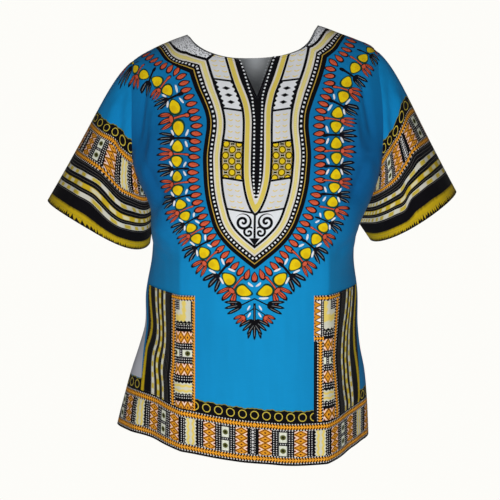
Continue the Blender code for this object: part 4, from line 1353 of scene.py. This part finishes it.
# Patch pockets, laid on the front's own points
swayPoint = namedtuple("swayPoint", "down inner middle outer")
pocketSway = {
    "right": tableOf(swayPoint, [
        (0, 2.4, 4.8, 0), (40, 2.4, 7, 7.6), (70, 1.5, 9.6, 11), (93, 1, 9.6, 5), (110, 1.7, 5, -1),
        (126, 1, 0, -2), (143, -2.7, -2.7, -3), (170, -1.7, 1, -3.5), (202, 0, 3, -3.5),
    ]),
    "left": tableOf(swayPoint, [
        (0, -6.9, -12, -4), (40, -4, -4, 6), (70, -1, 5, 9), (93, 3, 9, 9), (110, 4, 11, 8),
        (126, 3, 12, 5), (143, 0, 8, 1), (170, -4, 0, -4), (202, -7, -10, -6),
    ]),
}
swayAt = [20, 43, 80, 120]  # where it starts, and its three columns, across the pocket
pocket = {"off": 0.5 * mm, "ease": 1.6 * mm, "inner": 5, "outer": 11}
middleColumn = shape[1] // 2
pocketFaces = []
for side in cuffs:
    inner, outer = (int(np.argmin(abs(columnPlace - pocket[key]))) for key in ("inner", "outer"))
    ends = sorted(middleColumn + sideSign[side] * c for c in (inner, outer))
    under = slice(rows["hem"], rows["hem"] + rows["pocket"] + 1), slice(ends[0], ends[1] + 1)
    seat, out = panels["front"][under], normals["front"][under]
    high, wide = (np.linspace(0, math.pi * turn, n) for turn, n in zip((0.75, 1), seat.shape))
    rise = np.outer(np.sin(high), np.sin(wide))
    grid = seat + out * (pocket["off"] + body["clothThickness"] + pocket["ease"] * rise)[..., None]
    across = abs(cloths["front"][under][..., 0])
    across = across - across.min(axis=1, keepdims=True)
    down = cloths["front"][under][..., 1]
    down = down.max(axis=0, keepdims=True) - down
    # the stripes wander with the drape of the hip, as read off the photograph
    moved = [smoothCurve(down, column(pocketSway[side], "down") / mm, column(pocketSway[side], key) / mm)
             for key in ("inner", "middle", "outer")]
    parts = [np.interp(across, swayAt, row) for row in ([0, 1, 0, 0], [0, 0, 1, 0], [0, 0, 0, 1])]
    across = across + sum(share * part for share, part in zip(moved, parts))
    marks = {"cloth": np.stack([across, down, down], axis=-1)}
    thickness = np.full(grid.shape[:2], body["clothThickness"])
    finishes = [materials["pocket" + side]]
    pieces["pocket" + side] = clothPiece(side + "PocketCloth", grid, out, marks, finishes, False, thickness)
    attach(pieces["pocket" + side], "root")
    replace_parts(pieces["pocket" + side], "pocket_" + side)
    pieces["pocket" + side]
    sleeves["pocket" + side] = grid
    pocketFaces.append((grid, out))
print("pockets made")

stitch = {"Length": 2.3 * mm, "Thread": 0.42 * mm, "Unevenness": 0.16, "Seed": 7}
stitchPitch = 3.1 * mm
stitchIn = {"hem": 10.6, "cuff": 9.6, "neck": 3.2, "pocket": 2.4}  # mm from each edge


def lineAt(grid, out, distance, at):
    # where each column crosses a distance, lifted to the face
    spots = []
    for j in range(grid.shape[1]):
        row = np.argmax(distance[:, j] >= at)
        t = (at - distance[row - 1, j]) / (distance[row, j] - distance[row - 1, j])
        spots.append([field[row - 1, j] * (1 - t) + field[row, j] * t for field in (grid, out)])
    spots = np.array(spots)
    return spots[:, 0] + unit(spots[:, 1]) * 0.06 * mm


def stitchLines():
    lines = []
    for face, grid in panels.items():
        lines.append(lineAt(grid, normals[face], cloths[face][..., 1], stitchIn["hem"]))
        columns = np.setdiff1d(np.arange(shape[1]), shoulderColumns)
        edge = grid[-1]
        fine = np.concatenate([edge[:-1] * (1 - t) + edge[1:] * t for t in np.linspace(0, 0.9, 10)])
        low = slice(None, None, -1), slice(columns[0] - 1, columns[-1] + 2)
        away = edgeDistance(grid[low], fine) / mm
        lines.append(lineAt(grid[low], normals[face][low], away, stitchIn["neck"]))
    for side in cuffs:
        grid = sleeves[side]
        wide = [np.concatenate([field, field[:, :1]], axis=1) for field in (grid, sleeveNormals[side])]
        rim = wide[0][0]
        fine = np.concatenate([rim[:-1] * (1 - t) + rim[1:] * t for t in np.linspace(0, 0.9, 10)])
        lines.append(lineAt(*wide, edgeDistance(wide[0], fine) / mm, stitchIn["cuff"]))
    for grid, out in pocketFaces:
        for turned in (lambda field: field, lambda field: field[::-1]):
            for way in (lambda field: field, lambda field: np.swapaxes(field, 0, 1)):
                face, faceOut = turned(way(grid)), turned(way(out))
                run = np.linalg.norm(face - face[:1], axis=2) / mm
                lines.append(lineAt(face, faceOut, run, stitchIn["pocket"])[1:-1])
    return lines


thread = {"Roughness": 0.62, "Sheen Weight": 0.15}
threadBump = {"Strength": 0.4, "Distance": 0.0001}


def threadMaterial():
    made, tree, shader = newMaterial("stitchThread", thread)
    fibre = noise(tree, 2600, 2.0)
    put(tree, paint(rgb(18, 20, 34), rgb(58, 62, 84), fibre.over(0.55, 0.3)), shader.inputs["Base Color"])
    addBump(tree, shader, fibre, threadBump)
    return made


def stitchTree():
    tree = bpy.data.node_groups.new("stitchRow", "GeometryNodeTree")
    for label, kind in (("Geometry", "Geometry"), ("Length", "Float"), ("Thread", "Float"),
                        ("Unevenness", "Float"), ("Seed", "Int"), ("Finish", "Material")):
        tree.interface.new_socket(label, in_out="INPUT", socket_type="NodeSocket" + kind)
    tree.interface.new_socket("Geometry", in_out="OUTPUT", socket_type="NodeSocketGeometry")
    new, link = tree.nodes.new, tree.links.new
    given, result = new("NodeGroupInput").outputs, new("NodeGroupOutput").inputs
    points, rod = new("GeometryNodeMeshToPoints"), new("GeometryNodeMeshCylinder")
    rod.inputs["Vertices"].default_value = 6
    along = new("GeometryNodeInputNamedAttribute")
    along.data_type = "FLOAT_VECTOR"
    along.inputs["Name"].default_value = "along"
    turned = new("FunctionNodeAlignRotationToVector")
    turned.axis = "Z"
    uneven = new("FunctionNodeRandomValue")
    uneven.inputs[3].default_value = 1.0
    laid, real = new("GeometryNodeInstanceOnPoints"), new("GeometryNodeRealizeInstances")
    finish = new("GeometryNodeSetMaterial")
    put(tree, Field(tree, given["Thread"]) * 0.5, rod.inputs["Radius"])
    put(tree, Field(tree, given["Unevenness"]).op("MULTIPLY_ADD", -1.0, 1.0), uneven.inputs[2])
    link(given["Geometry"], points.inputs["Mesh"])
    link(given["Length"], rod.inputs["Depth"])
    link(along.outputs["Attribute"], turned.inputs["Vector"])
    link(given["Seed"], uneven.inputs["Seed"])
    link(points.outputs[0], laid.inputs["Points"])
    link(rod.outputs["Mesh"], laid.inputs["Instance"])
    link(turned.outputs[0], laid.inputs["Rotation"])
    link(uneven.outputs[1], laid.inputs["Scale"])
    link(laid.outputs[0], real.inputs[0])
    link(real.outputs[0], finish.inputs["Geometry"])
    link(given["Finish"], finish.inputs["Material"])
    link(finish.outputs[0], result[0])
    return tree


def sewn():
    spots, ways = [], []
    for line in stitchLines():
        run = np.concatenate([[0], np.cumsum(np.linalg.norm(np.diff(line, axis=0), axis=1))])
        at = np.arange(stitchPitch / 2, run[-1], stitchPitch)
        ends = [np.stack([np.interp(at + step, run, line[:, k]) for k in range(3)], axis=-1)
                for step in (-0.8 * mm, 0.8 * mm)]
        spots.append((ends[0] + ends[1]) / 2)
        ways.append(unit(ends[1] - ends[0]))
    mesh = bpy.data.meshes.new("stitchPlaces")
    mesh.from_pydata(np.concatenate(spots).tolist(), [], [])
    along = mesh.attributes.new("along", "FLOAT_VECTOR", "POINT")
    along.data.foreach_set("vector", np.concatenate(ways).ravel())
    holder = bpy.data.objects.new("stitchPlaces", mesh)
    bpy.context.scene.collection.objects.link(holder)
    modifier = holder.modifiers.new("stitchRow", "NODES")
    modifier.node_group = stitchTree()
    settings = {**stitch, "Finish": threadMaterial()}
    for socket in modifier.node_group.interface.items_tree:
        if socket.in_out == "INPUT" and socket.name in settings:
            modifier[socket.identifier] = settings[socket.name]
    bpy.context.view_layer.update()
    depsgraph = bpy.context.evaluated_depsgraph_get()
    made = bpy.data.meshes.new_from_object(holder.evaluated_get(depsgraph), depsgraph=depsgraph)
    holder.modifiers.clear()
    bpy.data.objects.remove(holder)
    made.name = "stitching"
    made.shade_smooth()
    piece = bpy.data.objects.new("stitching", made)
    bpy.context.scene.collection.objects.link(piece)
    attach(piece, "root")
    print("stitches", sum(len(s) for s in spots), "faces", len(made.polygons))


sewn()

for name, piece in pieces.items():
    key = name if name in panels else name.replace("sleeve", "")
    grid = panels[key] if key in panels else sleeves[key]
    closed = name.startswith("sleeve")
    wide, high = longest(grid)
    area = laidArea(grid, closed)
    print(name, "flat", round(wide, 3), round(high, 3), "area", round(area, 4), len(piece.data.polygons))

# Stage, lights and camera
studio = {
    "floorLevel": -1.42,
    "floorSize": 14.0,
    "floorBehind": 3.0,
    "floorFinish": {"Base Color": (0.9, 0.9, 0.88, 1), "Roughness": 0.9},
    "paper": (0.982, 0.975, 0.942),
    "sky": {"Color": (1.0, 0.995, 0.985, 1), "Strength": 0.1},
    "keyPower": 33.5,
    "keySpread": 3.14,
    "fillPower": 3.0,
    "rearPower": 16.0,
}


def paperShine(tree, out, dim, kind):
    # bright for the camera alone, as paper lit by lamps of its own
    path = tree.nodes.new("ShaderNodeLightPath")
    mix = tree.nodes.new("ShaderNodeMixShader")
    bright = tree.nodes.new(kind)
    bright.inputs["Color"].default_value = (*studio["paper"], 1)
    tree.links.new(path.outputs["Is Camera Ray"], mix.inputs[0])
    tree.links.new(dim, mix.inputs[1])
    tree.links.new(bright.outputs[0], mix.inputs[2])
    tree.links.new(mix.outputs[0], out)


bpy.ops.mesh.primitive_plane_add(size=studio["floorSize"], location=(0, 0, 0))
floor = bpy.context.object
floor.name = "floor"
floor.data.transform(Matrix.Translation((0, studio["floorBehind"], studio["floorLevel"])))
paper, paperTree, paperShader = newMaterial("palePaper", studio["floorFinish"])
paperOut = paperTree.nodes["Material Output"].inputs[0]
paperShine(paperTree, paperOut, paperShader.outputs[0], "ShaderNodeEmission")
floor.data.materials.append(paper)

world = bpy.data.worlds.new("softStudio")
bpy.context.scene.world = world
world.use_nodes = True
sky = world.node_tree.nodes["Background"]
setInputs(sky, studio["sky"])
worldOut = world.node_tree.nodes["World Output"].inputs[0]
paperShine(world.node_tree, worldOut, sky.outputs[0], "ShaderNodeBackground")
bpy.context.scene.view_settings.view_transform = "Standard"


def softLight(name, place, aim, size, power, spread=math.pi):
    data = bpy.data.lights.new(name, "AREA")
    data.shape, data.size, data.energy, data.spread = "SQUARE", size, power, spread
    lamp = bpy.data.objects.new(name, data)
    lamp.location = place
    lamp.visible_camera = False
    lamp.rotation_euler = (Vector(aim) - Vector(place)).to_track_quat("-Z", "Y").to_euler()
    bpy.context.scene.collection.objects.link(lamp)


softLight("frontSoftbox", (0.0, -2.3, -0.42), (0, 0, -0.42), 0.5, studio["keyPower"], studio["keySpread"])
softLight("topSoftbox", (-0.9, -1.9, 0.9), (0, 0, -0.3), 1.1, studio["fillPower"])
softLight("rearSoftbox", (0.0, 2.6, -0.1), (0, 0, -0.4), 1.0, studio["rearPower"])

view = {
    "distance": 2.10, "across": -0.0077, "pitch": 10.465, "focalPixels": 1191.07, "frame": 500, "sensor": 36,
}
camera = bpy.data.objects.new("camera", bpy.data.cameras.new("camera"))
camera.data.sensor_width = view["sensor"]
camera.data.lens = view["focalPixels"] / view["frame"] * view["sensor"]
camera.location = (view["across"], -view["distance"], 0)
camera.rotation_euler = (math.radians(90 - view["pitch"]), 0, 0)
bpy.context.scene.collection.objects.link(camera)
bpy.context.scene.camera = camera
print("stage made")
